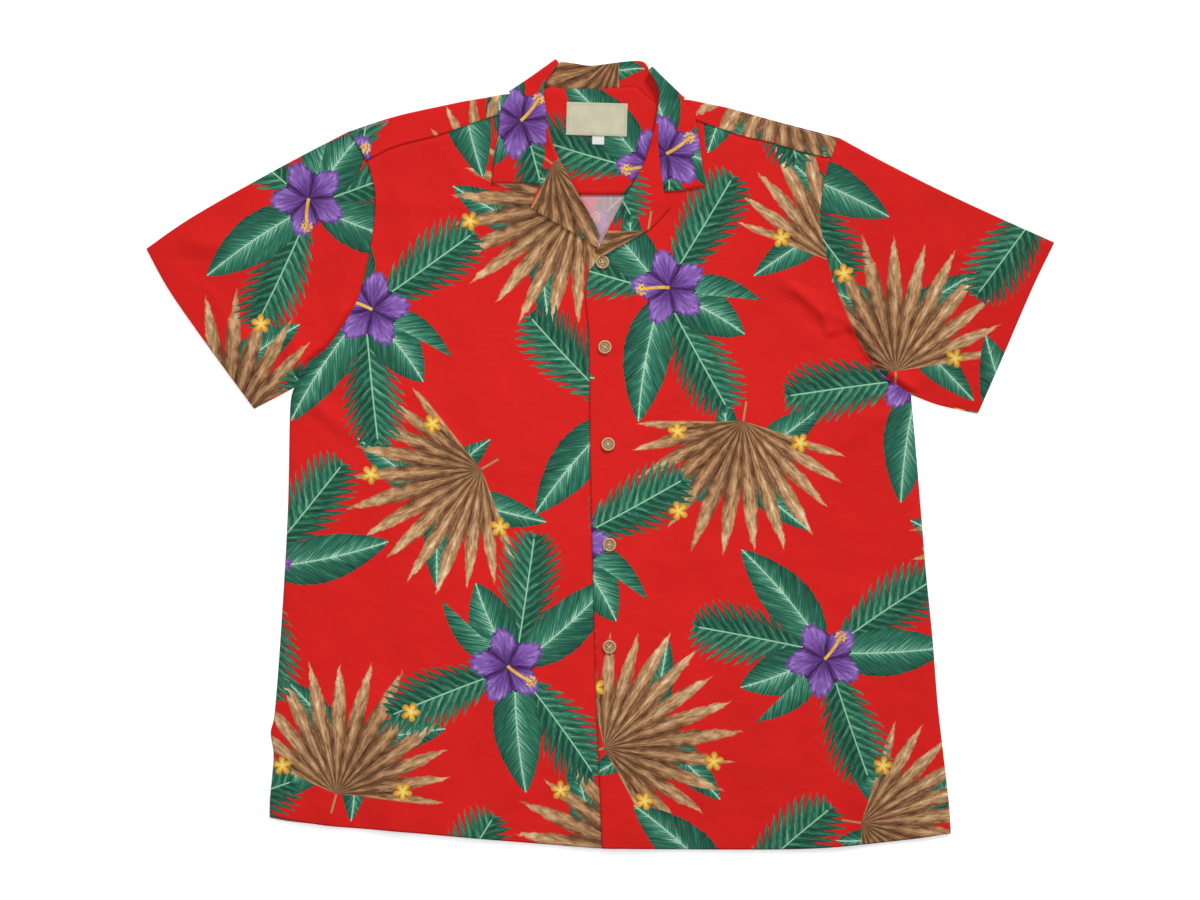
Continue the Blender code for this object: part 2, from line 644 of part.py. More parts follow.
def collar(collection):
    """The collar: a free edge, the fall, the roll and the stand, folded flat round the neck."""
    crease_steps = 4
    right, right_crease = front_sections(
        RIGHT_COLLAR_END, RIGHT_COLLAR_SIDE, RIGHT_ROLL, RIGHT_NECK_FRONT, RIGHT_NECK_YOKE, RIGHT_GORGE
    )
    left, left_crease = front_sections(
        LEFT_COLLAR_END, LEFT_COLLAR_SIDE, LEFT_ROLL, LEFT_NECK_FRONT, LEFT_NECK_YOKE, LEFT_GORGE
    )
    neck = spaced(BACK_NECK, BACK_NECK_STEPS)
    edge = spaced(BACK_COLLAR_EDGE, len(neck) + 1)[1:-1]
    roll = spaced(BACK_ROLL, len(neck) + 1)[1:-1]
    behind = [section(edge[k], roll[k], neck[k], False) for k in range(len(neck))]
    right += folded_sections(*right_crease, -1, crease_steps)
    left += folded_sections(*left_crease, 1, crease_steps)
    return piece("collar", [np.array(right + behind + left[::-1])], RED, collection)


# --- sleeves, trims and the run ------------------------------------------------------------------


def sleeve(name, top, hem, underarm, armhole, yoke_end, armhole_back, yoke_end_back, side, collection):
    """A sleeve laid flat: rings from the armhole to the cuff, each a closed flattened loop.

    side is -1 for the wearer's right sleeve and 1 for the left one.
    """
    rings = 8
    top_line, under_line = spaced(top, rings), spaced(underarm, rings)
    front_edge = chain((armhole, ARMHOLE_STEPS), (yoke_end, NECK_YOKE_STEPS))
    back_edge = chain((armhole_back, ARMHOLE_BACK_STEPS), (yoke_end_back, YOKE_END_BACK_STEPS))
    front_edge = moved(front_edge, -side * SEAM_GAP / 2)
    back_edge = moved(back_edge, -side * SEAM_GAP / 2)
    over_top, below = side * left_of(top_line), -side * left_of(under_line)
    radius_top = (front_level(top_line) - FLOOR_LAYER) / 2
    radius_under = (front_level(under_line) - FLOOR_LAYER) / 2
    top_line = top_line - over_top * (radius_top + CLOTH / 2)[:, None]
    under_line = under_line - below * (radius_under + CLOTH / 2)[:, None]
    top_line[0] += (side * 1.3 * SEAM_GAP, 0)
    under_line[0] += (side * SEAM_GAP, 0)
    front_edge[0] = back_edge[0] = under_line[0]
    front_edge[-1] = back_edge[-1] = top_line[0]
    cuff_front, cuff_back = spaced(hem, len(front_edge) - 1), spaced(hem, len(back_edge) - 1)
    cuff_front[0] = cuff_back[0] = under_line[-1]
    cuff_front[-1] = cuff_back[-1] = top_line[-1]
    upper = patch(under_line, top_line, front_edge, cuff_front)
    lower = patch(under_line, top_line, back_edge, cuff_back)
    upper = raised(upper, front_level(upper))
    lower = raised(lower, np.full(lower.shape[:2], FLOOR_LAYER))
    shoulder_arc = turned_over(lower[-1], upper[-1], over_top, 3)[::-1]
    underarm_arc = turned_over(lower[0], upper[0], below, 3)
    loop = np.concatenate([upper, shoulder_arc, lower[::-1], underarm_arc])
    return piece(name, [loop.transpose(1, 0, 2)], RED, collection, closed=True)


def sleeves(collection):
    sleeve(
        "sleeve_right", RIGHT_SLEEVE_TOP, RIGHT_SLEEVE_HEM, RIGHT_UNDERARM, RIGHT_ARMHOLE,
        RIGHT_YOKE_END, RIGHT_ARMHOLE_BACK, RIGHT_YOKE_END_BACK, -1, collection,
    )
    sleeve(
        "sleeve_left", LEFT_SLEEVE_TOP, LEFT_SLEEVE_HEM, LEFT_UNDERARM, LEFT_ARMHOLE,
        LEFT_YOKE_END, LEFT_ARMHOLE_BACK, LEFT_YOKE_END_BACK, 1, collection,
    )


def flat_tag(name, size, middle, thickness, colour, collection):
    """A small flat tag on the yoke lining, turned a little as it was sewn."""
    half = np.array(size) / 2
    turn = np.array(
        [[math.cos(LABEL_TURN), math.sin(LABEL_TURN)], [-math.sin(LABEL_TURN), math.cos(LABEL_TURN)]]
    )
    across, up = np.meshgrid(np.linspace(-half[0], half[0], 4), np.linspace(-half[1], half[1], 3))
    flat = np.stack([across, up], axis=-1) @ turn + middle
    lining_top = float(back_level(np.array(middle))) + LINING_RISE + CLOTH / 2
    level = np.full(flat.shape[:2], lining_top + SEAM_GAP + thickness / 2)
    return piece(name, [raised(flat, level)], colour, collection, thickness=thickness)


def tags(collection):
    flat_tag("label", LABEL_SIZE, LABEL_MIDDLE, LABEL_THICKNESS, CREAM, collection)
    flat_tag("size_tab", TAB_SIZE, TAB_MIDDLE, TAB_THICKNESS, WHITE, collection)


def button_profile():
    """Half section of a button, from the middle of its face round the rim to its underside."""
    r, t = BUTTON_RADIUS, BUTTON_THICKNESS
    return (
        (0, t - BUTTON_DISH), (r - BUTTON_RIM - 0.6, t - BUTTON_DISH), (r - BUTTON_RIM, t - 0.1),
        (r - 0.6, t), (r, t * 0.62), (r - 0.35, t * 0.22), (r - 1.6, 0), (0, 0),
    )


def buttons(collection, cutters):
    """Five turned buttons with a rim and four holes, each on the left front over its buttonhole."""
    wood = material("button", WOOD, 0.45)
    for number, place in enumerate(BUTTONS, 1):
        mesh = bpy.data.meshes.new(f"button_{number}")
        points = [(radius * MM, 0, height * MM) for radius, height in button_profile()]
        mesh.from_pydata(points, [(k, k + 1) for k in range(len(points) - 1)], [])
        mesh.materials.append(wood)
        made = bpy.data.objects.new(f"button_{number}", mesh)
        collection.objects.link(made)
        turned = made.modifiers.new("turned", "SCREW")
        turned.steps = turned.render_steps = 18
        turned.use_merge_vertices = True
        turned.merge_threshold = 0.00001
        turned.use_normal_calculate = True

        turn = np.linspace(0, math.tau, 12, endpoint=False)
        rim = np.array(place) + BUTTON_RADIUS * np.column_stack([np.cos(turn), np.sin(turn)])
        seat = float(left_front_level(rim).max()) + CLOTH / 2 + SEAM_GAP
        spot = np.array([*place, seat]) - (MIDDLE_ACROSS, MIDDLE_UP, 0)
        made.location = spot * MM
        for hole in range(4):
            angle = math.pi / 4 + hole * math.pi / 2
            reach = BUTTON_HOLE_SPACING / math.sqrt(2)
            shift = np.array([reach * math.cos(angle), reach * math.sin(angle), BUTTON_THICKNESS / 2])
            bpy.ops.mesh.primitive_cylinder_add(
                vertices=6, radius=BUTTON_HOLE_RADIUS * MM, depth=3 * BUTTON_THICKNESS * MM,
                location=(spot + shift) * MM,
            )
            cutter = bpy.context.object
            cutter.name = f"hole_{number}_{hole + 1}"
            cutter.hide_render = True
            cutter.display_type = "WIRE"
            for owner in cutter.users_collection:
                owner.objects.unlink(cutter)
            cutters.objects.link(cutter)
            cut = made.modifiers.new(cutter.name, "BOOLEAN")
            cut.operation = "DIFFERENCE"
            cut.object = cutter


def main():
    for old in list(bpy.data.objects):
        bpy.data.objects.remove(old)
    shirt = bpy.data.collections.new("hawaiian_shirt")
    cutters = bpy.data.collections.new("cutters")
    bpy.context.scene.collection.children.link(shirt)
    bpy.context.scene.collection.children.link(cutters)
    back(shirt)
    yoke(shirt)
    yoke_lining(shirt)
    fronts(shirt)
    collar(shirt)
    sleeves(shirt)
    tags(shirt)
    buttons(shirt, cutters)


main()
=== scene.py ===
"""Dresses a hawaiian shirt that lies flat on its back, buttoned, with a printed cloth.

Each piece of cloth is a thin shell over its solid: a surface worked out from the outline of the
garment and from the height at which each layer lies. "Right" and "left" are the wearer's.
Outlines are in millimetres: across, to the wearer's left of the centre front, and up, from the
lowest point of the hem towards the collar. Meshes are in metres.
"""

import math

import bmesh
import bpy
import numpy as np
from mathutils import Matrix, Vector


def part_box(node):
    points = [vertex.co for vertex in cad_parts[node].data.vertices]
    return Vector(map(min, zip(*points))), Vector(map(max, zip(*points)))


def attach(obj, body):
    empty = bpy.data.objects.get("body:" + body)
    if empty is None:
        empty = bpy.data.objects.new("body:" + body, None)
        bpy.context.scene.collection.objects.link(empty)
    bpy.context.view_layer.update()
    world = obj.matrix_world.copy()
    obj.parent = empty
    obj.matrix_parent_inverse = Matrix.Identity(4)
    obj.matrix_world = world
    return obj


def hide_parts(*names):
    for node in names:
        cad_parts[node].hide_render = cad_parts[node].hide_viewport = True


bl_info = {
    "name": "Hawaiian shirt laid flat",
    "version": (1, 0, 0),
    "blender": (4, 5, 0),
    "location": "3D View > Sidebar > Shirt",
    "description": "Builds the printed cloth, trims, buttons and stage of a shirt that lies flat",
    "category": "Object",
}

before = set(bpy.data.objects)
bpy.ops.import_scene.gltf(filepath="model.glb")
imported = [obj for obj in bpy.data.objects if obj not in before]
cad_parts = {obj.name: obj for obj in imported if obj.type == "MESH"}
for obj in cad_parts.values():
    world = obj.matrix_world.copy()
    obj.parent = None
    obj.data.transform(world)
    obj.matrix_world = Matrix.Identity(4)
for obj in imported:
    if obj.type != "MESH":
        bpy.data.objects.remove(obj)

MM = 0.001

# How the cloth is stacked, in millimetres
CLOTH = 1.2  # room that the solids give to one layer
SEAM_GAP = 0.3
NECK_GAP = 1.5 * SEAM_GAP  # from the collar's seam to the cloth that meets it
PLY = CLOTH + SEAM_GAP
FLOOR_LAYER = CLOTH / 2
FRONT_REST = FLOOR_LAYER + PLY + 0.2
OVERLAP_LIFT = PLY + 0.1
TURN_RADIUS = 2.2
FALL_LIFT = 1.8
TUCK = 5.0
COLLAR_BACK_RADIUS = 1.2
STAND_LEVEL = 2.85
LINING_RISE = PLY + 0.15
LINING_BELOW = (628, 652)  # up, over which the fronts climb on the yoke lining
LINING_BESIDE = (262, 340)  # across, over which they come off it
OVERLAP_END = (32, 60)  # across, over which the left front comes off the right one
NECK_UP = 735  # up, the middle of the neck's roundness
NECK_REACH = 105
NECK_FLAT = (690, 120)  # up and reach of the circle that the larger folds keep off
PLACKET_FLAT = (8, 42)  # across and reach of the strip along the placket that they keep off
COLLAR_OVAL = ((-3, 757), (110, 52))  # middle and half size of where the collar lies beneath
SOFT_EDGE = 15  # over which the cloth's softness grows from its edges
PUFF_EDGE = 6  # and that of the puffed underarms

# The outline of the garment: across, up
HEM = (
    (-330, 33), (-275, 24), (-215, 19), (-165, 14.5), (-83, 7.5), (2, 1), (110, 0), (213, 1),
    (301, 9), (350.5, 16),
)


class Half:
    """The lines of one half of the shirt, each a row of points across and up.

    side is -1 for the wearer's right half and 1 for the left one. seam is the side seam. armhole
    runs up from the underarm to the yoke, and yoke_end from there to the shoulder; the same lines
    of the back lie beneath them. yoke_seam is the one in front. free_edge is the front's, from the
    hem up: the right one lies under the left one. gorge is the seam of collar and lapel, from the
    notch up, and gorge_roll is the lapel's roll line beside it. lapel has a row for each section
    below the notch: roll across, roll up, edge across, edge up, lift. roll is the collar's, from
    the gorge up. collar_end runs from notch to point and collar_side from the point up. neck_front
    and neck_yoke are the collar's seam along the front and the yoke. The prints are shifts of the
    cloth's pattern, and lap_start is the share of half the armhole over which the sleeve's lap
    grows.
    """

    def __init__(self, **lines):
        self.__dict__.update(lines)


RIGHT = Half(
    name="right", side=-1, front_print=(0, 0), lapel_print=(37, 214), lap_start=0.05,
    seam=(
        (-330, 33), (-329.5, 53), (-326, 93), (-329, 117), (-325, 137), (-319, 213), (-312, 333),
        (-309.5, 441), (-305, 462),
    ),
    shoulder=(
        (-252, 717), (-203, 733), (-151, 744.5), (-115, 752), (-101, 755), (-91, 756),
        (-78, 758.5), (-65, 763),
    ),
    sleeve_top=((-252, 717), (-321, 681), (-406, 633), (-453.5, 600.5)),
    sleeve_hem=((-345.5, 440), (-399, 513), (-432, 561), (-453.5, 600.5)),
    underarm=((-305, 462), (-320.8, 453), (-345.5, 440)),
    armhole=(
        (-305, 462), (-293, 484), (-271, 503), (-248, 537.5), (-238, 562), (-230, 597),
        (-225, 632), (-225, 660), (-233, 688),
    ),
    yoke_end=((-233, 688), (-241, 702), (-252, 717)),
    armhole_back=((-305, 462), (-285, 489), (-260, 524), (-242, 564), (-234, 609), (-234, 655)),
    yoke_end_back=((-234, 655), (-241, 691), (-252, 717)),
    yoke_seam=(
        (-233, 688), (-204, 702.3), (-162, 713.3), (-122.6, 726.7), (-101.5, 733.4), (-69, 741),
    ),
    free_edge=((26, 1), (26, 250), (26, 462), (26, 535), (23, 568), (14, 593)),
    gorge_roll=((-50.3, 717.6), (-48.8, 711), (-45.6, 700.3), (-40.5, 690)),
    lapel=(
        (-31, 673, -69.8, 640.3, 1.8), (-22, 655.5, -51, 629.6, 1.8),
        (-14.7, 642.4, -34, 619.8, 1.9), (-7.5, 629.5, -19, 611.3, 2.1),
        (-2, 620, -8.5, 604.7, 2.8), (1.8, 613, -3.2, 601.4, 3.2),
    ),
    gorge=((-60.3, 664.6), (-56.5, 686), (-53.6, 707), (-54.1, 719)),
    roll=(
        (-50.7, 718.8), (-52.6, 730), (-54.5, 745), (-56, 755), (-54.3, 764.5), (-49.3, 773.5),
        (-41.1, 785.6),
    ),
    collar_end=((-60.3, 664.6), (-84, 664.8), (-108.5, 665)),
    collar_side=(
        (-108.5, 665), (-105.5, 694), (-101.5, 713), (-100.4, 730), (-98.5, 740.5), (-94.6, 747.8),
        (-89.1, 754.3),
    ),
    neck_front=((-55.6, 719.3), (-59, 725), (-63, 733), (-65.8, 742)),
    neck_yoke=((-65.8, 742), (-66.8, 750), (-66, 756), (-63.4, 760.4)),
)
LEFT = Half(
    name="left", side=1, front_print=(55, 130), lapel_print=(150, -60), lap_start=0.14,
    seam=(
        (350.5, 16), (348, 51), (341.5, 108), (337, 149), (332, 213), (326, 273), (320, 345),
        (315, 405), (310.5, 454.4),
    ),
    shoulder=(
        (239, 711), (173, 728.5), (130, 740.5), (98, 748.5), (85, 750.5), (74, 749.3),
        (64.5, 746.8),
    ),
    sleeve_top=((239, 711), (295, 681), (369, 645), (454, 606.6)),
    sleeve_hem=((377.3, 435), (401, 489), (432, 561), (454, 606.6)),
    underarm=((310.5, 454.4), (337.5, 444), (377.3, 435)),
    armhole=(
        (310.5, 454.4), (281, 475.5), (262, 501), (251.6, 522), (232.6, 570), (221, 619),
        (221, 650), (227, 680), (231, 691),
    ),
    yoke_end=((231, 691), (234.5, 701), (239, 711)),
    armhole_back=((310.5, 454.4), (290, 484), (266, 524), (246, 564), (232, 609), (229, 655)),
    yoke_end_back=((229, 655), (233, 688), (239, 711)),
    yoke_seam=(
        (231, 691), (206, 695.5), (167.6, 707), (145, 712), (108.4, 724), (90, 730.5), (71, 736),
    ),
    free_edge=(
        (2, 1), (-4, 160), (-9, 350), (-10.5, 461), (-11, 510), (-14, 545), (-14, 562),
        (-11.5, 577),
    ),
    gorge_roll=((54.5, 722.6), (51.4, 711), (47.2, 695.7), (41.5, 681)),
    lapel=(
        (31, 662, 70.4, 641, 1.8), (24, 650.5, 52, 621.5, 1.8), (16.5, 636, 34, 610, 2),
        (9.5, 622.5, 18, 601, 2.9), (3, 609.5, 7, 594.8, 4.2), (-1.5, 600, 1.5, 591.8, 4.3),
        (-4.8, 593.5, -2.6, 589.6, 4.3),
    ),
    gorge=((63.7, 657.4), (61.2, 674.3), (59.3, 692.7), (57.8, 712), (58.3, 724.2)),
    roll=((54.9, 723.8), (58.2, 745.4), (58.7, 753), (57.8, 760), (54.6, 768), (48.4, 778.2)),
    collar_end=((63.7, 657.4), (84, 658.5), (105, 662)),
    collar_side=(
        (105, 662), (101, 690.3), (99.3, 705), (96.5, 722), (94.3, 733), (90.3, 740.3),
        (82.4, 747.9),
    ),
    neck_front=((59.8, 724.3), (64.5, 725.8), (68.8, 730), (70.5, 735.5)),
    neck_yoke=((70.5, 735.5), (71, 739), (70.9, 742.5), (70, 746)),
)
HALVES = RIGHT, LEFT

BACK_SEAM_UP = 655  # the seam of yoke and back
UNDERARM_LEVEL = 465  # up, where the fronts' edges are split in step with the underarm

# The collar behind the neck, beneath the shirt, from right to left
BACK_ROLL = (
    (-41.1, 787.6), (-28, 786), (-10, 783.3), (6, 785), (21.5, 787), (36, 788.2), (44, 786.6),
    (48.4, 780.4),
)
BACK_COLLAR_EDGE = (
    (-89.1, 754.3), (-84, 746), (-62, 730), (-32, 721), (0, 718), (32, 720), (58, 728), (76, 740),
    (82.4, 747.9),
)
BACK_NECK = (
    (-48, 763), (-38, 760.5), (-18, 760.3), (5, 760.4), (33, 762), (40.7, 758.5), (47.5, 751.5),
    (57, 744.5),
)

# How many runs of the mesh each seam has
SIDE_STEPS = 96
ARMHOLE_STEPS = 88
YOKE_ARMHOLE_STEPS = 14
ARMHOLE_BACK_STEPS = 40
YOKE_BACK_STEPS = 24
SHOULDER_STEPS = 84
NECK_FRONT_STEPS = 16
NECK_YOKE_STEPS = 16
BACK_NECK_STEPS = 42
FAN_STEPS = 8
ROLL_SHARE = 0.66  # share of the collar's roll in front that runs beside the neck's seam
COLLAR_END_STEPS = 18
CREASE_STEPS = 12
SLEEVE_RINGS = 72
LAPEL_RUN_STEPS = 8
LAPEL_CLOSING_STEPS = 14
FALL_STATIONS = 22
STAND_STEPS = 7
SLEEVE_ARC_STEPS = 5
YOKE_ARC_STEPS = 7
FOLD_END_STEPS = 9
LAP_STEPS = 12
EDGE_RUN = 0.4  # share of a plain run that the mesh's outermost runs have
FADE = 7.0  # runs over which a shift or a change of spacing dies away
TURN_STEPS = 9

# The folds that the solids have.
# Columns: start across, start up, end across, end up, half width, height.
FOLDS = (
    (186, 566, 250, 523, 8, 2.2), (180, 548, 232, 538, 9, -1), (258, 250, 262, 50, 15, 2.6),
    (303, 270, 308, 90, 9, -1.3), (222, 205, 214, 20, 17, 1.8), (-285, 190, -268, 40, 15, 1.9),
    (-236, 150, -205, 30, 18, 1.7), (-296, 476, -318, 545, 8, 2.4),
    (-318, 470, -345, 540, 8, -1.2), (-255, 480, -185, 425, 13, 1.9),
    (-180, 455, -150, 400, 10, 1.4), (-185, 380, -178, 60, 34, 1.6), (150, 420, 160, 90, 36, 1.6),
    (-372, 520, -345, 470, 10, 1.7), (-400, 600, -330, 590, 22, 1.7), (330, 470, 365, 520, 9, 2),
    (350, 600, 405, 560, 20, 1.6), (-200, 640, -150, 560, 24, 1.4), (190, 640, 130, 570, 26, 1.3),
    (-90, 300, -84, 70, 26, 1.2), (80, 330, 86, 60, 26, 1.2),
)

# Smaller creases with a sharper crest, on top of those folds. Columns as for FOLDS.
CREASES = (
    (194, 560, 222, 535, 4.6, 2.8), (222, 535, 228, 516, 4, 2.2), (228, 516, 252, 522, 4.6, 2.2),
    (190, 568, 214, 560, 3.4, -1.2), (206, 530, 244, 506, 6, -1.6), (262, 470, 214, 440, 6, 1.4),
    (-324, 498, -318, 458, 4.6, 1.8), (-336, 490, -326, 452, 5, -1.4),
    (-352, 512, -338, 462, 6, 1.6), (-440, 612, -372, 604, 9, 1.8),
    (-430, 590, -372, 588, 9, -1.2), (-392, 560, -352, 498, 8, 1.5), (300, 505, 345, 496, 5, 1.4),
    (296, 520, 330, 524, 5, -1), (372, 620, 386, 552, 9, 1.4), (300, 440, 250, 408, 6, 1.4),
    (-296, 452, -240, 410, 7, 1.5), (-292, 436, -230, 392, 8, -1), (286, 452, 240, 405, 5.5, 0.7),
    (-379, 512, -362, 470, 3.2, 1.3), (-366, 518, -352, 478, 3.5, -0.8),
    (-313, 500, -308, 464, 2.6, 1.2), (-322, 500, -320, 466, 2.8, -0.8),
    (-286, 470, -232, 446, 4.6, 0.9), (-292, 452, -246, 404, 5.2, 0.7),
    (-190, 454, -160, 439, 4, 0.8), (-176, 446, -140, 420, 5, -0.6), (257, 189, 259, 99, 8, 1.6),
    (305, 149, 302, 89, 7, 1.5), (281, 170, 280, 70, 9, -1.2), (-215, 149, -170, 129, 5, 0.7),
    (-300, 190, -292, 90, 4.6, 0.7), (-250, 120, -244, 46, 5, 0.6), (-30, 548, -70, 520, 4.5, 0.5),
    (40, 560, 88, 540, 4.5, 0.5), (34, 470, 80, 452, 5, 0.45), (-26, 420, -66, 398, 5, 0.45),
    (36, 300, 74, 276, 5, 0.4), (-150, 684, -118, 640, 5, 0.6), (152, 676, 122, 628, 5, 0.6),
    (-204, 660, -176, 604, 6, 0.5), (206, 644, 172, 590, 6, 0.5), (356, 596, 396, 566, 4, 0.7),
    (338, 478, 366, 512, 3.6, 0.9), (-398, 602, -352, 596, 5, 0.6), (-300, 560, -262, 610, 5, 0.6),
    (272, 556, 256, 606, 5, 0.6), (64, 150, 70, 40, 6, 0.4), (-120, 190, -116, 60, 6, 0.4),
    (168, 240, 172, 110, 7, 0.45), (-60, 250, -56, 130, 6, 0.35), (118, 420, 96, 352, 6, 0.4),
    (-110, 404, -96, 330, 6, 0.4), (210, 360, 222, 280, 6, 0.4), (301, 446, 264, 457, 3.4, 1.9),
    (303, 436, 262, 431, 4, 1.3), (298, 425, 268, 402, 4, 0.9), (256, 322, 254, 262, 4, 0.8),
    (302, 345, 300, 290, 4, 0.8), (281, 336, 279, 276, 5, -0.6), (-300, 436, -272, 446, 3.4, 1),
    (-298, 332, -292, 268, 4.5, 0.7), (-272, 350, -262, 300, 5, 0.5),
)

# Where the sleeves puff up beside the armholes while the body dips along them, from the underarm
# up. Columns: the seam, the side of it that rises, the rise, the dip.
PUFFS = (
    (((-303, 463), (-291, 485), (-269, 505), (-251, 534)), 1, 3.4, -3.0),
    (((308, 456), (281, 475.5), (262, 501), (252, 522)), -1, 4.6, -3.2),
)
PUFF_REACH = 6.5  # from the seam to the crest of the puff on one side and to the dip on the other

# The cloth's own slow swells. Columns: length across, length up, start, height.
SWELLS = (
    (171, 260, 0.4, 0.42), (-118, 190, 1.9, 0.34), (92, -143, 4.1, 0.26), (64, 310, 2.7, 0.20),
    (-49, -77, 0.9, 0.12),
)

# Creases of the back and of the yoke lining inside the neck. Columns as for FOLDS.
NECK_CREASES = (
    (40, 706, 52, 676, 3, 0.5), (44, 712, 30, 668, 3.4, -0.35), (-30, 690, -20, 664, 3.5, 0.3),
    (6, 650, 2, 612, 4, 0.35), (20, 700, 34, 690, 3, 0.3), (30, 708, 39, 682, 2.3, 1.2),
    (25, 704, 31, 676, 3.2, -0.4), (12, 652, 16, 626, 3, 0.3),
)

# Seams and hems, in millimetres
BACK_HEM_PEEK = 2.0  # how far the back's hem shows below the front's near the right side
# Where the stitches of each part's hem start and end, across
HEM_ROWS = {"right": (-324, -7), "left": (3, 345), "back": (-323, 344)}
CUFF_ROW = (0.035, 0.965)  # share of a cuff's width where its stitches start and end
VENT_TOP = 93.0  # up, where the side seams end above the hem
STAND_TUCK = 2.4  # how far the collar's stand runs on under the yoke lining
LAP = 3.0  # how far the lower piece of a lapped seam runs on under the upper one
LINING_LAP = 1.2  # how far the yoke lining runs on over the back
LINING_SHORT = 4  # how far the lining ends before the shoulder folds
SLEEVE_LOWEST = 1.6  # height that a sleeve's upper layer stays above
SLEEVE_CORNER = 2.6  # how far a sleeve's lower edge runs on under the front at the underarm

# Buttons, from the top one down: across, up
BUTTONS = ((2.4, 586.6), (4.8, 501.8), (8.1, 404.8), (9.4, 304.4), (9.4, 202.6))
BUTTON_RADIUS = 6.7
BUTTON_THICKNESS = 2.1
BUTTON_RIM = 1.5
BUTTON_PLATE = BUTTON_RADIUS - BUTTON_RIM - 0.7  # radius of the dished plate
BUTTON_ROUND = 0.75  # radius of the rim's outer edge
BUTTON_DISH = 0.5
BUTTON_HOLE_RADIUS = 0.85
BUTTON_HOLE_SPACING = 2.6
BUTTON_HOLE_REACH = BUTTON_HOLE_SPACING / math.sqrt(2)  # from the middle to each hole
BUTTON_TURNS = (0.25, -0.35, 0.55, 0.1, -0.6)
# The rings about a hole. Columns: radius over the hole's, height or None for on the button's face,
# and the share of the way out to the quarter's edge.
BUTTON_RINGS = (
    (1.12, 0, 1), (1.12, 0, 0), (1, 0.16, 0), (1, 0.8, 0), (1, 1.4, 0), (1.1, 1.56, 0),
    (1.26, None, 0), (1.3, None, 0.12), (1.3, None, 0.4), (1.3, None, 0.7), (1.3, None, 1),
)
# The rim's underside. Columns: how far in from the outer edge, height.
BUTTON_UNDERSIDE = ((0.05, 0.9), (0.35, 0.45), (0.9, 0.14), (1.6, 0.0))
THREAD_RADIUS = 0.21
THREAD_SPACING = 0.36
BUTTONHOLE = (0.85, 8.0)  # half its width and half its length

# What the camera sees: its middle in metres, and how wide it is on the floor
VIEW_MIDDLE = (-0.0003, 0.0043)
VIEW_WIDTH = 1.2
SENSOR_WIDTH = 36  # millimetres
FLOOR_TONES = (0.925, 0.935)  # the darkest and the lightest, from 0 to 1

COLLAR_TOP = 789.4  # up, the top of the collar's roll behind the neck

# How the print lies on the collar's three parts, from right to left
COLLAR_TURNS = (1.35, 0, -1.35)
COLLAR_SHIFTS = ((40, 30), (30, 0), (90, 60))

# Label and size tab at the back of the neck
LABEL_HALF = (60.5 / 2, 33.0 / 2)
LABEL_MIDDLE = (-3.3, 729.2)
LABEL_TURN = math.radians(-1.7)
LABEL_LOW = 0.25  # from the lining to the middle of the label's folded ends
LABEL_BEND = 0.22  # radius of those folds
LABEL_TUCK = 5.0  # of each end, folded under
LABEL_STITCH_INSET = 1.1
LABEL_THREAD_RADIUS = 0.17
LABEL_CLOTH = 0.3
TAB_HALF = (12.0 / 2, 8.2 / 2)
TAB_CLOTH = 0.16
TAB_MIDDLE = (-1.9, 708.1)

# The middle of the garment's box in the outline's own measure, which becomes the origin
MIDDLE_ACROSS = (RIGHT.sleeve_hem[-1][0] + LEFT.sleeve_hem[-1][0]) / 2
MIDDLE_UP = (COLLAR_TOP + min(up for across, up in HEM)) / 2


# Curves and patches


def smooth(points, steps=12):
    """A dense Catmull-Rom curve through the points, whatever their number of columns."""
    p = np.asarray(points, float)
    if len(p) == 2:
        return p[0] + (p[1] - p[0]) * np.linspace(0, 1, steps + 1)[:, None]
    padded = np.vstack([2 * p[0] - p[1], p, 2 * p[-1] - p[-2]])
    t = np.linspace(0, 1, steps, endpoint=False)[:, None]
    runs = []
    for a, b, c, d in zip(padded[:-3], padded[1:-2], padded[2:-1], padded[3:]):
        square, cube = 2 * a - 5 * b + 4 * c - d, 3 * b - a - 3 * c + d
        runs.append(0.5 * (2 * b + (c - a) * t + square * t**2 + cube * t**3))
    return np.vstack(runs + [p[-1:]])


def lengths(vectors):
    """The length of each vector."""
    return np.linalg.norm(vectors, axis=-1)


def unit(vectors):
    """Vectors of the same direction and a length of one."""
    return vectors / np.maximum(lengths(vectors)[..., None], 1e-9)


def walked_along(line):
    """Distance from a line's first point to each of its points, along its straight runs."""
    return np.concatenate([[0], np.cumsum(lengths(np.diff(line, axis=0)))])


def shares(line):
    """How far along a line of straight runs each of its points is, from 0 to 1."""
    length = walked_along(line)
    return length / length[-1]


def resampled(line, fractions):
    """Points at fractions of the length of a line of straight runs."""
    share = shares(line)
    return np.column_stack([np.interp(fractions, share, column) for column in line.T])


def along(points, fractions):
    """Points at the given fractions of the length of the smooth curve through the points."""
    return resampled(smooth(points), fractions)


def crowded(steps, start=1.0, end=1.0):
    """Fractions from 0 to 1 whose first and last runs are the given share of a plain run."""
    fade = np.exp(-np.arange(steps) / FADE)
    size = 1 - (1 - start) * fade - (1 - end) * fade[::-1]
    total = np.concatenate([[0], np.cumsum(size)])
    return total / total[-1]


def spaced(points, steps):
    """steps + 1 points, evenly spaced along the smooth curve through the given ones."""
    return along(points, np.linspace(0, 1, steps + 1))


def chain(*runs):
    """Curves end to end as one row of points: each run is its points and its fractions or steps."""
    rows = []
    for points, steps in runs:
        rows.append(spaced(points, steps) if np.isscalar(steps) else along(points, steps))
    return np.vstack([rows[0]] + [row[1:] for row in rows[1:]])


def left_of(line):
    """Unit vectors to the left of the way a line runs."""
    run = unit(np.gradient(line, axis=0))
    return np.column_stack([-run[:, 1], run[:, 0]])


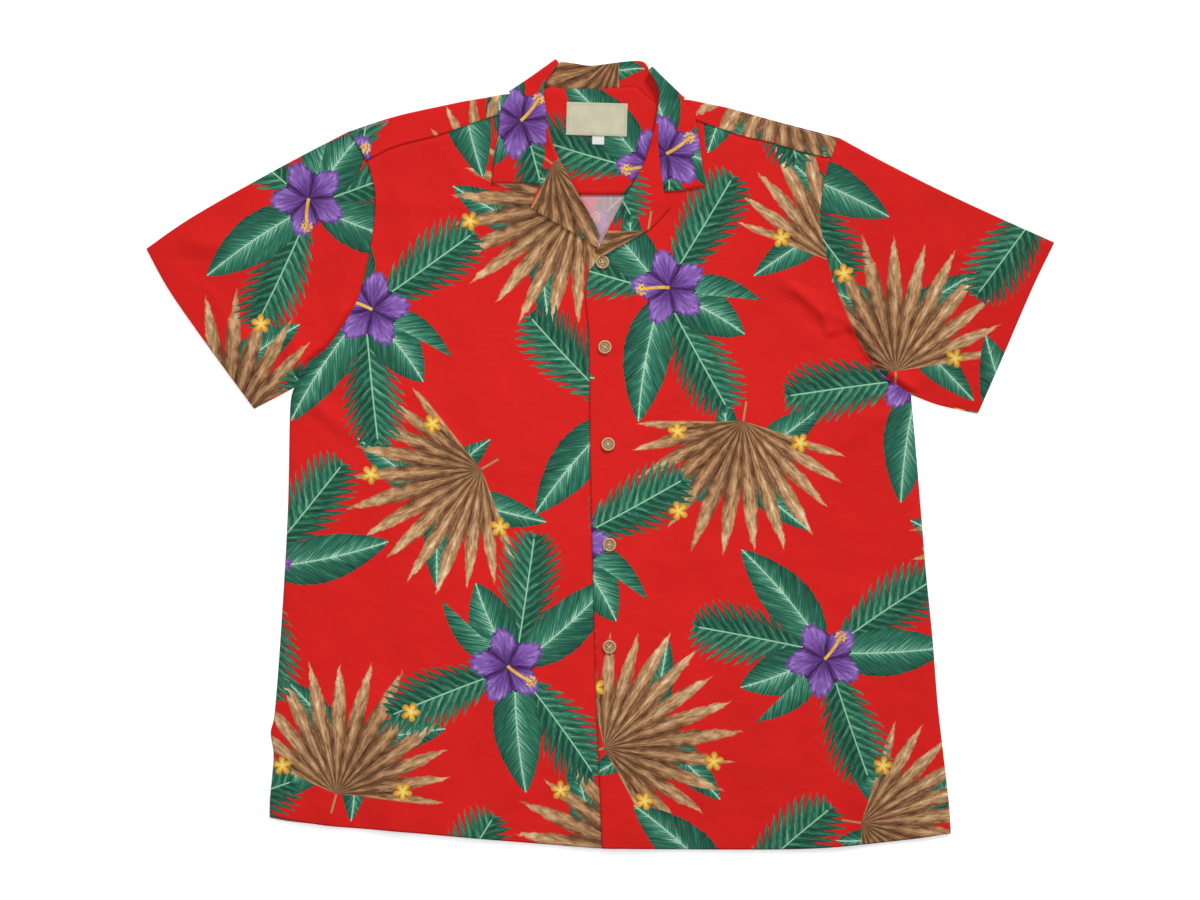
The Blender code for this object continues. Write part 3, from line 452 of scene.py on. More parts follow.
def pinned(line, start, end):
    """The line drawn to a new start and end, each shift dying away over the next few points."""
    fade = np.exp(-np.arange(len(line)) / FADE)[:, None]
    return line + (start - line[0]) * fade + (end - line[-1]) * fade[::-1]


def moved(line, distance):
    """The line shifted sideways, to the left of the way it runs."""
    return line + distance * left_of(line)


def patch(start, end, first, last):
    """Points spread between four edges (a Coons patch).

    Both pairs of opposite edges are blended straight across, added, and the blend of the four
    corners is taken away. start and end are the bottom and top rows, first and last the columns.
    """
    v = ((shares(first) + shares(last)) / 2)[:, None, None]
    u = ((shares(start) + shares(end)) / 2)[None, :, None]
    between_rows = (1 - v) * start[None] + v * end[None]
    between_columns = (1 - u) * first[:, None] + u * last[:, None]
    corners = (1 - v) * ((1 - u) * start[0] + u * start[-1]) + v * ((1 - u) * end[0] + u * end[-1])
    return between_rows + between_columns - corners


def ease(value, low, high):
    """0 below low, 1 above high, and a smooth step between them."""
    t = np.clip((value - low) / (high - low), 0, 1)
    return t * t * (3 - 2 * t)


def bell(away, width):
    """1 at no distance, dying away over the given width as a bell curve."""
    return np.exp(-((away / width) ** 2))


def distance_to(points, line):
    """How far each point is from a line of straight runs."""
    best = np.full(points.shape[:-1], np.inf)
    for a, b in zip(line[:-1], line[1:]):
        run = b - a
        offset = points - a
        t = np.clip(offset @ run / max(run @ run, 1e-9), 0, 1)
        best = np.minimum(best, lengths(offset - t[..., None] * run))
    return best


# The height at which each layer lies

OUTLINES = [
    chain((half.seam, 12), (half.underarm, 4), (half.sleeve_hem, 4), (half.sleeve_top[::-1], 8),
          (half.shoulder, 10))
    for half in HALVES
]


def over_collar(p):
    """1 where the folded collar lies beneath the yoke, easing to 0 around it."""
    radius = lengths((p - COLLAR_OVAL[0]) / COLLAR_OVAL[1])
    return 1 - ease(radius, 0.95, 1.25)


def back_level(p):
    """Middle of a layer that lies on the floor, or on the folded collar near the neck."""
    return FLOOR_LAYER + PLY * over_collar(p)


def peaked(away, width):
    """1 at no distance, dying away over the given width from a sharper peak than a bell's."""
    return 1 / (1 + (away / width) ** 2) ** 1.6


def ridges(p, table, profile=peaked):
    """The sum of a profile across each fold of a table, which dies away past both of its ends."""
    height = np.zeros(p.shape[:-1])
    for x0, y0, x1, y1, half_width, peak in table:
        away = distance_to(p, np.array([[x0, y0], [x1, y1]], float))
        height += peak * profile(away, half_width)
    return height


def swells(p):
    """A sum of slow waves that run in different directions."""
    height = np.zeros(p.shape[:-1])
    for across, up, start, peak in SWELLS:
        height += peak * np.sin(math.tau * (p[..., 0] / across + p[..., 1] / up) + start)
    return height


def folds(p):
    """Soft ridges and troughs, kept away from the placket and the neck."""
    placket = bell(p[..., 0] - PLACKET_FLAT[0], PLACKET_FLAT[1])
    neck = np.exp(-((np.hypot(p[..., 0], p[..., 1] - NECK_FLAT[0]) / NECK_FLAT[1]) ** 4))
    small = ridges(p, CREASES) + swells(p)
    return ridges(p, FOLDS, bell) * (1 - placket) * (1 - neck) + small * (1 - 0.6 * placket)


def puckers(walked, away, reach=9.0, height=0.16):
    """Small uneven waves along a stitched line, which die away from it."""
    ripple = np.sin(walked / 1.9 + 1.7 * np.sin(walked / 13.0)) + 0.6 * np.sin(walked / 3.3 + 0.8)
    return height * ripple * bell(away, reach)


def hem_rise(p, edge, depth, walked):
    """A turned-up hem: one more layer up to its stitched line, and puckers along that."""
    away = distance_to(p, edge)
    turned_up = 0.32 * (1 - ease(away, depth - 0.5, depth + 2))
    return turned_up - 0.25 * bell(away - depth, 1.3) + puckers(walked, away - depth, 8, 0.13)


def puffs(p):
    """The sleeves' rise beside the lower armholes and the body's dip along them."""
    height = np.zeros(p.shape[:-1])
    for line, side, rise, dip in PUFFS:
        for reach, peak in ((PUFF_REACH, rise), (-PUFF_REACH, dip)):
            away = distance_to(p, moved(smooth(line, 4), side * reach))
            height += peak * peaked(away, PUFF_REACH)
    return height


def front_level(p):
    """Middle of the upper layer: what it rests on, plus its own softness away from the edges."""
    yoke_lining = ease(p[..., 1], *LINING_BELOW) * (1 - ease(np.abs(p[..., 0]), *LINING_BESIDE))
    rest = FRONT_REST + PLY * yoke_lining + PLY * over_collar(p)
    neck = bell(np.hypot(p[..., 0], p[..., 1] - NECK_UP), NECK_REACH)
    edge = np.minimum(*[distance_to(p, outline) for outline in OUTLINES])
    softness = (1.1 + 1.4 * neck + folds(p)) * (1 - np.exp(-edge / SOFT_EDGE))
    return rest + np.maximum(softness + puffs(p) * (1 - np.exp(-edge / PUFF_EDGE)), 0)


def left_front_level(p):
    """The left front lies on the right one at the placket, and level with it elsewhere."""
    return front_level(p) + OVERLAP_LIFT * (1 - ease(p[..., 0], *OVERLAP_END))


RIGHT.level, LEFT.level = front_level, left_front_level


def raised(p, level):
    """Points across, up with their height: across, up, height."""
    return np.concatenate([p, level[..., None]], axis=-1)


# From grids of points to a piece


def plain(points, turn=0.0, shift=(0, 0)):
    """Cloth coordinates of points that lie flat: their own across and up, turned and shifted."""
    c, s = math.cos(turn), math.sin(turn)
    return points[..., :2] @ np.array([[c, s], [-s, c]]) + shift


def grid_faces(rows, columns, first=0):
    """The corners of every face of a grid whose points are numbered row by row."""
    index = np.arange(rows * columns).reshape(rows, columns) + first
    near, far = index[:-1], index[1:]
    return np.stack([near[:, :-1], near[:, 1:], far[:, 1:], far[:, :-1]], -1).reshape(-1, 4)


def gathered(grids):
    """The points, cloth coordinates and faces of several grids as one list each."""
    faces, count = [], 0
    for grid, place in grids:
        faces.append(grid_faces(*grid.shape[:2], count))
        count += grid.shape[0] * grid.shape[1]
    points = np.vstack([grid.reshape(-1, 3) for grid, place in grids])
    places = np.vstack([place.reshape(-1, 2) for grid, place in grids])
    return points, places, np.vstack(faces)


def mesh_piece(name, points, places, faces, materials, smooth_faces=True):
    """An object from points and places in outline millimetres. Points that meet are joined."""
    corners = faces.shape[1]
    mesh = bpy.data.meshes.new(name)
    mesh.vertices.add(len(points))
    mesh.vertices.foreach_set("co", ((points - (MIDDLE_ACROSS, MIDDLE_UP, 0)) * MM).ravel())
    mesh.loops.add(faces.size)
    mesh.loops.foreach_set("vertex_index", faces.ravel())
    mesh.polygons.add(len(faces))
    mesh.polygons.foreach_set("loop_start", np.arange(len(faces)) * corners)
    mesh.update(calc_edges=True)
    layer = mesh.uv_layers.new(name="cloth")
    layer.uv.foreach_set("vector", (places[faces.ravel()] * MM).ravel())
    build = bmesh.new()
    build.from_mesh(mesh)
    bmesh.ops.remove_doubles(build, verts=build.verts, dist=0.00001)
    bmesh.ops.dissolve_degenerate(build, edges=build.edges, dist=0.00001)
    build.to_mesh(mesh)
    build.free()
    for material in materials:
        mesh.materials.append(material)
    if smooth_faces:
        mesh.shade_smooth()
    made = bpy.data.objects.new(name, mesh)
    bpy.context.scene.collection.objects.link(made)
    return made


def cloth(name, grids, facing, materials, thickness=None):
    """One piece of cloth from grids of middle-surface points and their cloth coordinates.

    Grids join where their points meet. facing is "up" or "down", the way the printed side of the
    first grid looks, or "out" for a tube. The second material is for the wrong side.
    """
    points, places, faces = gathered(grids)
    first = points[grid_faces(*grids[0][0].shape[:2])]
    normal_up = np.cross(first[:, 2] - first[:, 0], first[:, 3] - first[:, 1])[:, 2]
    if facing == "out":
        normal_up = normal_up * (first[:, :, 2].mean(1) - first[:, :, 2].mean())
    if (normal_up.sum() < 0) != (facing == "down"):
        faces = faces[:, ::-1]
    made = mesh_piece(name, points, places, faces, materials)
    wall = made.modifiers.new("cloth", "SOLIDIFY")
    wall.thickness = cloth_settings().thickness if thickness is None else thickness * MM
    wall.offset = 0
    wall.material_offset = len(materials) - 1
    return made


def lay(solid, grids, facing, materials,
        thickness=None):
    """Makes a piece of cloth, attaches it to the shirt and hides the solid that it stands for."""
    piece = cloth(solid + "_shell", grids, facing, materials, thickness)
    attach(piece, "root")
    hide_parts(solid)


# Body


def back_shell():
    """The back below the yoke: a patch between hem, sides and yoke seam, flat on the floor."""
    up_side = crowded(SIDE_STEPS, start=EDGE_RUN)
    right, left = (
        chain((half.seam, up_side), (half.armhole_back, ARMHOLE_BACK_STEPS)) for half in HALVES
    )
    right[-1, 1] = left[-1, 1] = BACK_SEAM_UP - SEAM_GAP / 2
    across = crowded(100, 0.5, 0.5)
    hem = along(HEM, across)
    hem[:, 1] -= bell(hem[:, 0] + 318, 24) * BACK_HEM_PEEK
    right[0], left[0] = hem[0], hem[-1]
    flat = patch(hem, along([right[-1], left[-1]], across), right, left)
    inside = ridges(flat, NECK_CREASES) * ease(flat[..., 1], 560, 600)
    edge = np.minimum(distance_to(flat, right), distance_to(flat, left))
    slack = 0.3 * np.clip(folds(flat), 0, 3) * ease(edge, 25, 70)
    slack *= ease(distance_to(flat, hem), 40, 80) * (1 - ease(flat[..., 1], 560, 620))
    return [(raised(flat, back_level(flat) + inside + slack), plain(flat, shift=(203, -531)))]


def run_lengths(points):
    """Distance walked along each row of a grid from its first column."""
    step = lengths(np.diff(points, axis=1))
    return np.concatenate([np.zeros((len(points), 1)), np.cumsum(step, axis=1)], axis=1)


def lapel_lines(half):
    """Roll, crest, free edge and lift of a lapel, a row for each of its sections.

    The crest is where the fall begins to turn over the roll. Notch and point stay sharp, and the
    rest is smoothed.
    """
    table = np.array(half.lapel)
    steps = 3 * LAPEL_RUN_STEPS
    stations = np.linspace(1, 0, steps + 1)
    gorge = along(half.gorge, np.minimum(stations, 0.985))[::-1]
    seam = moved(gorge, half.side * 0.6 * SEAM_GAP)[::-1]
    lift = FALL_LIFT + (2 * TURN_RADIUS - FALL_LIFT) * stations**2
    beside = np.column_stack([spaced(half.gorge_roll, steps), seam, lift])
    notch = smooth([beside[-1], table[0]], LAPEL_RUN_STEPS)
    rows = np.vstack([beside[:-1], notch[:-1], smooth(table, LAPEL_RUN_STEPS)])
    roll, edge, lift = rows[:, :2], rows[:, 2:4], rows[:, 4]
    roll = smooth(roll[::LAPEL_RUN_STEPS], LAPEL_RUN_STEPS)
    outward = -half.side * left_of(roll)
    crest = roll - outward * (TURN_RADIUS + CLOTH / 2)
    return roll, crest, edge, lift, outward


def lapel_tuck(crest, edge, outward):
    """Where the cloth that runs on under the roll of a lapel ends."""
    width = lengths(edge - crest)[:, None]
    return crest - outward * np.clip(width - 0.5, 0.6, TUCK)


def front_shell(half):
    """A front: a patch from its side seam to its free edge, and from the hem to the yoke.

    The edge that faces the other front runs up the placket, under the lapel and round the neck.
    """
    _, crest, edge, _, outward = half.lapel_rows
    under_lapel = (lapel_tuck(crest, edge, outward) - outward * 0.6 * SEAM_GAP)[::-4]
    neck_edge = moved(spaced(half.neck_front, NECK_FRONT_STEPS), -half.side * NECK_GAP)
    free = smooth(half.free_edge)
    lower = free[free[:, 1] <= UNDERARM_LEVEL]
    upper = np.vstack([lower[-1:], free[free[:, 1] > UNDERARM_LEVEL], under_lapel, neck_edge])
    up_side = crowded(SIDE_STEPS, start=EDGE_RUN)
    up_armhole = crowded(ARMHOLE_STEPS, end=EDGE_RUN)
    inner = np.vstack([resampled(lower, up_side)[:-1], resampled(upper, up_armhole)])
    outer = chain((half.seam, up_side), (half.armhole, up_armhole))
    across = crowded(SHOULDER_STEPS, EDGE_RUN, EDGE_RUN)
    top, bottom = along(half.yoke_seam, across), along(half.hem, across)
    outer[0], inner[0] = bottom[0], bottom[-1]
    top[0], top[-1] = outer[-1], inner[-1]
    top = top + (0, LAP)
    for column in (outer, inner):
        column[-LAP_STEPS:, 1] += LAP * np.linspace(0, 1, LAP_STEPS)
    flat = patch(bottom, top, outer, inner)
    return [(raised(flat, half.surface(flat)), plain(flat, shift=half.front_print))]


def front_surface(half):
    """The height of a front as a function of place: its level with its seams, hem and edge."""
    hem = smooth(HEM)
    lines = [smooth(line) for line in (half.seam, half.armhole, half.yoke_seam, half.free_edge)]

    def surface(p):
        across, up = p[..., 0], p[..., 1]
        at_side, at_armhole, at_seam, at_edge = [distance_to(p, line) for line in lines]
        sewn = ease(up, VENT_TOP - 4, VENT_TOP + 10)
        lift = -0.92 * bell(at_side, 2.2) * sewn + puckers(up, at_side, 8, 0.10) * sewn
        lift += 0.7 * bell(at_armhole, 5) + puckers(up, at_armhole, 10, 0.16)
        lift += puckers(across, at_seam, 9, 0.12) - 0.95 * bell(at_seam, LAP)
        lift += 0.14 * bell(at_edge - 7, 5) - 0.3 * bell(at_edge, 1.2)
        return half.level(p) + lift + hem_rise(p, hem, cloth_settings().hem_depth / MM, across)

    return surface


# Yoke


def turned_over(low, high, outward, steps):
    """The half circle that joins a lower row of points to the upper row straight above it."""
    middle = (low + high) / 2
    radius = (high[:, 2] - low[:, 2])[:, None] / 2
    rows = []
    for angle in np.linspace(-math.pi / 2, math.pi / 2, steps + 2)[1:-1]:
        shift = np.column_stack([outward * math.cos(angle), np.full(len(outward), math.sin(angle))])
        rows.append(middle + radius * shift)
    return rows


def neck_behind():
    """The edge of the yoke behind the neck, beside the collar's seam."""
    return moved(spaced(BACK_NECK, BACK_NECK_STEPS), -NECK_GAP)


def yoke_behind(half, fold, neck):
    """The half of the yoke behind one shoulder: a patch from its back seam to the shoulder fold."""
    outer = moved(spaced(half.yoke_end_back, YOKE_BACK_STEPS), half.side * SEAM_GAP / 2)
    outer[0, 1] = BACK_SEAM_UP + SEAM_GAP / 2
    outer[-1] = fold[0]
    seam = spaced([outer[0], (neck[0], outer[0, 1])], len(fold))
    column = spaced([seam[-1], neck], YOKE_BACK_STEPS)
    return patch(seam, np.vstack([fold, neck]), outer, column)


def shoulder_fold(half, further_in=0):
    """The line that the fold of a shoulder turns round, and unit vectors out from it."""
    line = spaced(half.shoulder, SHOULDER_STEPS)
    radius = (front_level(line) - back_level(line)) / 2
    inset = radius + CLOTH / 2 + PLY * over_collar(line) + further_in
    outward = -half.side * left_of(line)
    return line - outward * inset[:, None], outward


def wing(half, neck_back):
    """One half of the yoke: up the back from its seam, over the shoulder and down to the front."""
    neck_edge = moved(spaced(half.neck_yoke, NECK_YOKE_STEPS), -half.side * NECK_GAP)[::-1]
    fold, outward = shoulder_fold(half)
    fold[-1] = neck_edge[0] + (half.side * 2.0, -0.6)
    blend = np.linspace(1, 0, FOLD_END_STEPS)[:, None]
    fold[-FOLD_END_STEPS:] = fold[-FOLD_END_STEPS] * blend + fold[-1] * (1 - blend)
    behind = yoke_behind(half, fold, neck_back)
    behind = raised(behind, back_level(behind))
    outer = spaced(half.yoke_end[::-1], NECK_YOKE_STEPS)
    seam = spaced(half.yoke_seam, SHOULDER_STEPS)
    outer[0], neck_edge[0] = fold[0], fold[-1]
    outer[-1], seam[-1] = seam[0], neck_edge[-1]
    before = patch(fold, seam, outer, neck_edge)
    at_seam, at_armhole = distance_to(before, seam), distance_to(before, outer)
    lift = 0.45 * bell(at_seam, 6) + puckers(before[..., 0], at_seam, 9, 0.12)
    lift += 0.6 * bell(at_armhole, 5)
    lift = lift * ease(distance_to(before, fold), 0, 14)
    before = raised(before, front_level(before) + lift)
    low = behind[-1, :-1]
    over = np.vstack([[low], turned_over(low, before[0], outward, YOKE_ARC_STEPS), before])
    reach = run_lengths(over.transpose(1, 0, 2)).T
    place = np.stack([np.broadcast_to(low[:, 0], reach.shape), low[:, 1] + reach], -1)
    return (behind, plain(behind)), (over, place)


def yoke_middle(right, left, neck):
    """The part of the yoke behind the neck: a patch between its two halves."""
    right_column, left_column = right[:, -1, :2], left[:, -1, :2]
    seam = spaced([right_column[0], left_column[0]], len(neck) - 1)
    return patch(seam, neck, right_column, left_column)


def yoke_shell():
    """The yoke in one piece: a middle behind the neck and a wing over each shoulder."""
    neck = neck_behind()
    (right, right_over), (left, left_over) = wing(RIGHT, neck[0]), wing(LEFT, neck[-1])
    middle = yoke_middle(right[0], left[0], neck)
    middle = raised(middle, back_level(middle))
    grids = [right, right_over, (middle, plain(middle)), flipped(left), flipped(left_over)]
    return [(grid, place + (120, 40)) for grid, place in grids]


def flipped(grid):
    """A grid with its columns the other way round, so that its faces look the other way."""
    return grid[0][:, ::-1], grid[1][:, ::-1]


def yoke_lining_shell():
    """The inner yoke, which shows inside the neck. It ends just short of the shoulder folds."""
    neck = neck_behind()
    right, left = (
        yoke_behind(half, shoulder_fold(half, LINING_SHORT)[0], end)
        for half, end in ((RIGHT, neck[0]), (LEFT, neck[-1]))
    )
    grids = []
    for flat in (right, yoke_middle(right, left, neck), left[:, ::-1]):
        flat[..., 1] -= LINING_LAP * (1 - ease(flat[..., 1], BACK_SEAM_UP, BACK_SEAM_UP + 20))
        level = back_level(flat) + LINING_RISE + ridges(flat, NECK_CREASES)
        grids.append((raised(flat, level), plain(flat, shift=(70, 10))))
    return grids


# Neck


def half_round(start, end, outward, steps):
    """Points on the half circle from start to end, bulging outward, without its two ends."""
    middle, arm = (start + end) / 2, (start - end) / 2
    radius = lengths(arm)[..., None]
    angles = np.linspace(0, math.pi, steps + 1)[1:-1]
    return [middle + arm * math.cos(a) + outward * radius * math.sin(a) for a in angles]


def beyond(rows, count, crest_place, outward):
    """Cloth coordinates of the rows after the crest: straight on, by the distance walked."""
    turned = np.array(rows[count - 1:])
    reach = run_lengths(turned.transpose(1, 0, 2)).T[1:]
    return [crest_place + outward * step[:, None] for step in reach]


def lapel_shell(half):
    """A lapel: its free edge, the fall up to the roll, the roll, and a tuck of cloth under it.

    The fall rises by a square of the share of its width. The roll flattens towards the lower end,
    and at the gorge the lapel runs on a little way below the collar.
    """
    _, crest, edge, lift, outward = half.lapel_rows
    closing = np.ones(len(edge))
    closing[-LAPEL_CLOSING_STEPS:] = 1 - 0.72 * ease(np.linspace(0, 1, LAPEL_CLOSING_STEPS), 0, 1)
    grid = []
    for t in np.linspace(0, 1, FALL_STATIONS):
        p = edge + (crest - edge) * t
        grid.append(raised(p, half.level(p) + (lift + (2 * TURN_RADIUS - lift) * t**2) * closing))
    below = np.column_stack([np.zeros((len(edge), 2)), 2 * TURN_RADIUS * closing])
    inside = grid[-1] - below
    outward_level = np.column_stack([outward, np.zeros(len(outward))])
    grid += half_round(grid[-1], inside, outward_level, TURN_STEPS)
    tuck = lapel_tuck(crest, edge, outward)
    grid += [inside, raised(tuck, half.level(tuck))]
    place = [row[:, :2] for row in grid[:FALL_STATIONS]]
    place += beyond(grid, FALL_STATIONS, crest, outward)
    grid, place = np.array(grid), np.array(place)
    run_on = grid[:, :1] * 2 - grid[:, 1:2]
    run_on[..., :2] = grid[:, :1, :2] + 2.0 * unit(grid[:, :1, :2] - grid[:, 1:2, :2])
    middle = (grid[FALL_STATIONS - 1, 0, 2] + grid[-2, 0, 2]) / 2
    run_on[..., 2] = middle + (grid[:, :1, 2] - middle) * 0.62 - 0.2
    grid = np.concatenate([run_on, grid], axis=1)
    place = np.concatenate([place[:, :1] + run_on[..., :2] - grid[:, 1:2, :2], place], axis=1)
    return [(grid, plain(place, shift=half.lapel_print))]


def section(edge, roll, neck, on_top, bow=None):
    """One section of the collar, from its free edge over the roll to the neck seam."""
    outward = unit(roll - neck)
    radius = TURN_RADIUS if on_top else COLLAR_BACK_RADIUS
    crest = roll - outward * (radius + CLOTH / 2)
    t = np.linspace(0, 1, FALL_STATIONS)
    fall = edge + (crest - edge) * t[:, None]
    if bow is not None:
        fall = fall + bow
    if on_top:
        fall = raised(fall, front_level(fall) + FALL_LIFT + (2 * radius - FALL_LIFT) * t**2)
        inside = fall[-1] - (0, 0, 2 * radius)
        seam = np.array([*neck, float(front_level(neck))])
    else:
        fall = raised(fall, np.full(len(t), FLOOR_LAYER))
        inside = fall[-1] + (0, 0, 2 * radius)
        seam = np.array([*(neck - outward * STAND_TUCK), STAND_LEVEL])
    turn = half_round(fall[-1], inside, np.array([*outward, 0]), TURN_STEPS)
    stand = inside + (seam - inside) * np.linspace(0, 1, STAND_STEPS)[:, None]
    return np.vstack([fall, turn, stand])


def folded_sections(edge, roll, neck, side, steps):
    """The sections of the collar round its crease, from on top of the shirt to beneath it."""
    upper, lower = section(edge, roll, neck, True), section(edge, roll, neck, False)
    run = unit(roll - edge)
    outward = side * np.array([run[1], -run[0]])
    upper[:, :2] = lower[:, :2] = (upper[:, :2] + lower[:, :2]) / 2
    return [upper] + half_round(upper, lower, np.array([*outward, 0]), steps) + [lower]


def front_sections(half):
    """Sections of the collar on the shirt, from the gorge up, and the lines at its crease."""
    beside_neck = crowded(COLLAR_END_STEPS + NECK_FRONT_STEPS + NECK_YOKE_STEPS, start=0.25)
    neck = resampled(chain((half.neck_front, 40), (half.neck_yoke, 40)), beside_neck)
    round_crease = np.linspace(ROLL_SHARE, 1, FAN_STEPS + 1)[1:]
    roll = along(half.roll, np.concatenate([ROLL_SHARE * beside_neck, round_crease]))
    neck = np.vstack([neck, np.tile(neck[-1], (FAN_STEPS, 1))])
    side_steps = len(roll) - 1 - COLLAR_END_STEPS
    edge = chain((half.collar_end, COLLAR_END_STEPS), (half.collar_side, side_steps))
    straight = section(edge[0], roll[0], neck[0], True)[:FALL_STATIONS, :2]
    bow = along(half.gorge, np.linspace(0, 1, FALL_STATIONS)) - straight
    fading = np.exp(-np.arange(len(edge)) / 3.0)
    made = [section(edge[k], roll[k], neck[k], True, bow * fading[k]) for k in range(len(edge) - 1)]
    return made + folded_sections(edge[-1], roll[-1], neck[-1], half.side, CREASE_STEPS)


def collar_shell():
    """The collar: a free edge, the fall, the roll and the stand, folded flat round the neck."""
    right, left = np.array(front_sections(RIGHT)), np.array(front_sections(LEFT))[::-1]
    neck = spaced(BACK_NECK, BACK_NECK_STEPS)
    edge = spaced(BACK_COLLAR_EDGE, len(neck) + 1)[1:-1]
    roll = spaced(BACK_ROLL, len(neck) + 1)[1:-1]
    behind = [section(*lines, False) for lines in zip(edge, roll, neck)]
    behind = np.array([right[-1]] + behind + [left[0]])
    crest = FALL_STATIONS - 1
    grids = []
    for grid, turn, shift in zip((right, behind, left), COLLAR_TURNS, COLLAR_SHIFTS):
        reach = run_lengths(grid)
        if turn:
            towards = unit(grid[:, crest, :2] - grid[:, 0, :2])
            after = (reach[:, crest:] - reach[:, crest:crest + 1])[..., None]
            rest = grid[:, crest, None, :2] + after * towards[:, None]
            place = np.concatenate([grid[:, :crest, :2], rest], axis=1)
        else:
            place = np.stack([grid[..., 0], reach - reach[:, crest:crest + 1]], -1)
        grids.append((grid, plain(place, turn, shift)))
    return grids


# Sleeves


def sleeve_lift(p, armhole_line, cuff_line):
    """What a sleeve's armhole seam and hem add to its height."""
    at_armhole = distance_to(p, armhole_line)
    lift = puckers(p[..., 1], at_armhole, 10, 0.16) - 1.35 * bell(at_armhole, LAP)
    return lift + hem_rise(p, cuff_line, cloth_settings().cuff_depth / MM, p[..., 1])


def sleeve_shell(half):
    """A sleeve laid flat: rings from the armhole to the cuff, each a closed flattened loop."""
    side, hem = half.side, half.sleeve_hem
    down = crowded(SLEEVE_RINGS, EDGE_RUN, EDGE_RUN)
    top_line, under_line = along(half.sleeve_top, down), along(half.underarm, down)
    seam_line = chain((half.armhole, ARMHOLE_STEPS), (half.yoke_end, YOKE_ARMHOLE_STEPS))
    back_edge = chain(
        (half.armhole_back, ARMHOLE_BACK_STEPS), (half.yoke_end_back, YOKE_BACK_STEPS)
    )
    from_end = 1 - np.abs(2 * shares(seam_line) - 1)
    tapering = LAP * ease(from_end, 0, half.lap_start)
    front_edge = seam_line + tapering[:, None] * side * left_of(seam_line)
    over_top, below = side * left_of(top_line), -side * left_of(under_line)
    radius_top, radius_under = [
        (front_level(line) - FLOOR_LAYER) / 2 for line in (top_line, under_line)
    ]
    top_line = top_line - over_top * (radius_top + CLOTH / 2)[:, None]
    under_line = under_line - below * (radius_under + CLOTH / 2)[:, None]
    under_line[0] -= SLEEVE_CORNER * unit(under_line[1] - under_line[0])
    layers = []
    for edge in (front_edge, back_edge):
        edge = pinned(edge, under_line[0], top_line[0])
        cuff = spaced(hem, len(edge) - 1)
        edge[0], edge[-1] = under_line[0], top_line[0]
        cuff[0], cuff[-1] = under_line[-1], top_line[-1]
        layers.append(patch(under_line, top_line, edge, cuff))
    upper, lower = layers
    ends = ease(np.minimum(distance_to(upper, top_line), distance_to(upper, under_line)), 0, 5)
    level = front_level(upper) + sleeve_lift(upper, seam_line, smooth(hem)) * ends
    upper = raised(upper, np.maximum(level, SLEEVE_LOWEST))
    lower = raised(lower, np.full(lower.shape[:2], FLOOR_LAYER))
    shoulder_arc = turned_over(lower[-1], upper[-1], over_top, SLEEVE_ARC_STEPS)[::-1]
    underarm_arc = turned_over(lower[0], upper[0], below, SLEEVE_ARC_STEPS)
    loop = np.concatenate([upper, shoulder_arc, lower[::-1], underarm_arc, upper[:1]])

    cuff = np.array(hem[-1], float) - hem[0]
    flat = plain(loop, -math.atan2(cuff[1], cuff[0]))
    around = run_lengths(loop.transpose(1, 0, 2)).T
    turn, after = len(upper) - 1, len(upper)
    flat[after:, :, 0] = flat[turn, :, 0] + around[after:] - around[turn]
    flat[after:after + SLEEVE_ARC_STEPS, :, 1] = flat[turn, :, 1]
    return [(loop, flat * (1, -side))]


# Label and size tab


def half_cloth():
    """Half the thickness of the cloth, in millimetres."""
    return cloth_settings().thickness / MM / 2


def lining_top(p):
    """The upper face of the yoke lining."""
    return back_level(p) + LINING_RISE + ridges(p, NECK_CREASES) + half_cloth()


def leaning(place, middle):
    """Points given across and up from a middle inside the neck, turned with the label's lean."""
    c, s = math.cos(LABEL_TURN), math.sin(LABEL_TURN)
    return place @ np.array([[c, s], [-s, c]]) + middle


def folded_strip(half, tuck, low, radius, steps):
    """Positions and heights along a strip whose two ends are folded under it."""
    bend = np.linspace(0, math.pi, 6)[1:-1]
    turn = radius - half
    face = np.linspace(turn, -turn, steps)
    position = np.concatenate([[tuck - half], [turn], turn - radius * np.sin(bend), face])
    height = np.concatenate([
        np.full(2, low), low + radius * (1 - np.cos(bend)), np.full(steps, low + 2 * radius),
    ])
    position = np.concatenate([position, -position[::-1][steps:]])
    return position, np.concatenate([height, height[::-1][steps:]])


def label_bow(place):
    """How far the label's face stands above its flat level: a bow and ripples at its edges."""
    half_across, half_up = LABEL_HALF
    across, up = place[..., 0], place[..., 1]
    bow = 0.28 * (1 - (across / half_across) ** 2) * (1 - (up / half_up) ** 2)
    ripple = 0.10 * np.sin(across / 4.1 + 0.6) * (up / half_up) ** 4
    return bow + ripple + 0.12 * np.sin(up / 3.7) * (across / half_across) ** 6


def over_tab(place):
    """The rise of the label over the size tab's ends."""
    across, up = place[..., 0], place[..., 1]
    return 0.55 * np.exp(-(((across - 1.4) / 9) ** 2) - ((up + LABEL_HALF[1]) / 7) ** 2)


def label_top(place):
    """The label's upper face at a place given across and up from its middle."""
    flat = lining_top(leaning(place, LABEL_MIDDLE)) + LABEL_LOW + 2 * LABEL_BEND + LABEL_CLOTH / 2
    return flat + label_bow(place) + over_tab(place)


def label_shell():
    """The woven label, its ends folded under."""
    half_across, half_up = LABEL_HALF
    position, height = folded_strip(half_across, LABEL_TUCK, LABEL_LOW, LABEL_BEND, 56)
    place = np.stack(np.meshgrid(position, np.linspace(-half_up, half_up, 34)), -1)
    face = height > LABEL_LOW + 1.8 * LABEL_BEND
    p = leaning(place, LABEL_MIDDLE)
    level = lining_top(p) + height + np.where(face, label_bow(place), 0) + over_tab(place)
    return [(raised(p, level), place)]


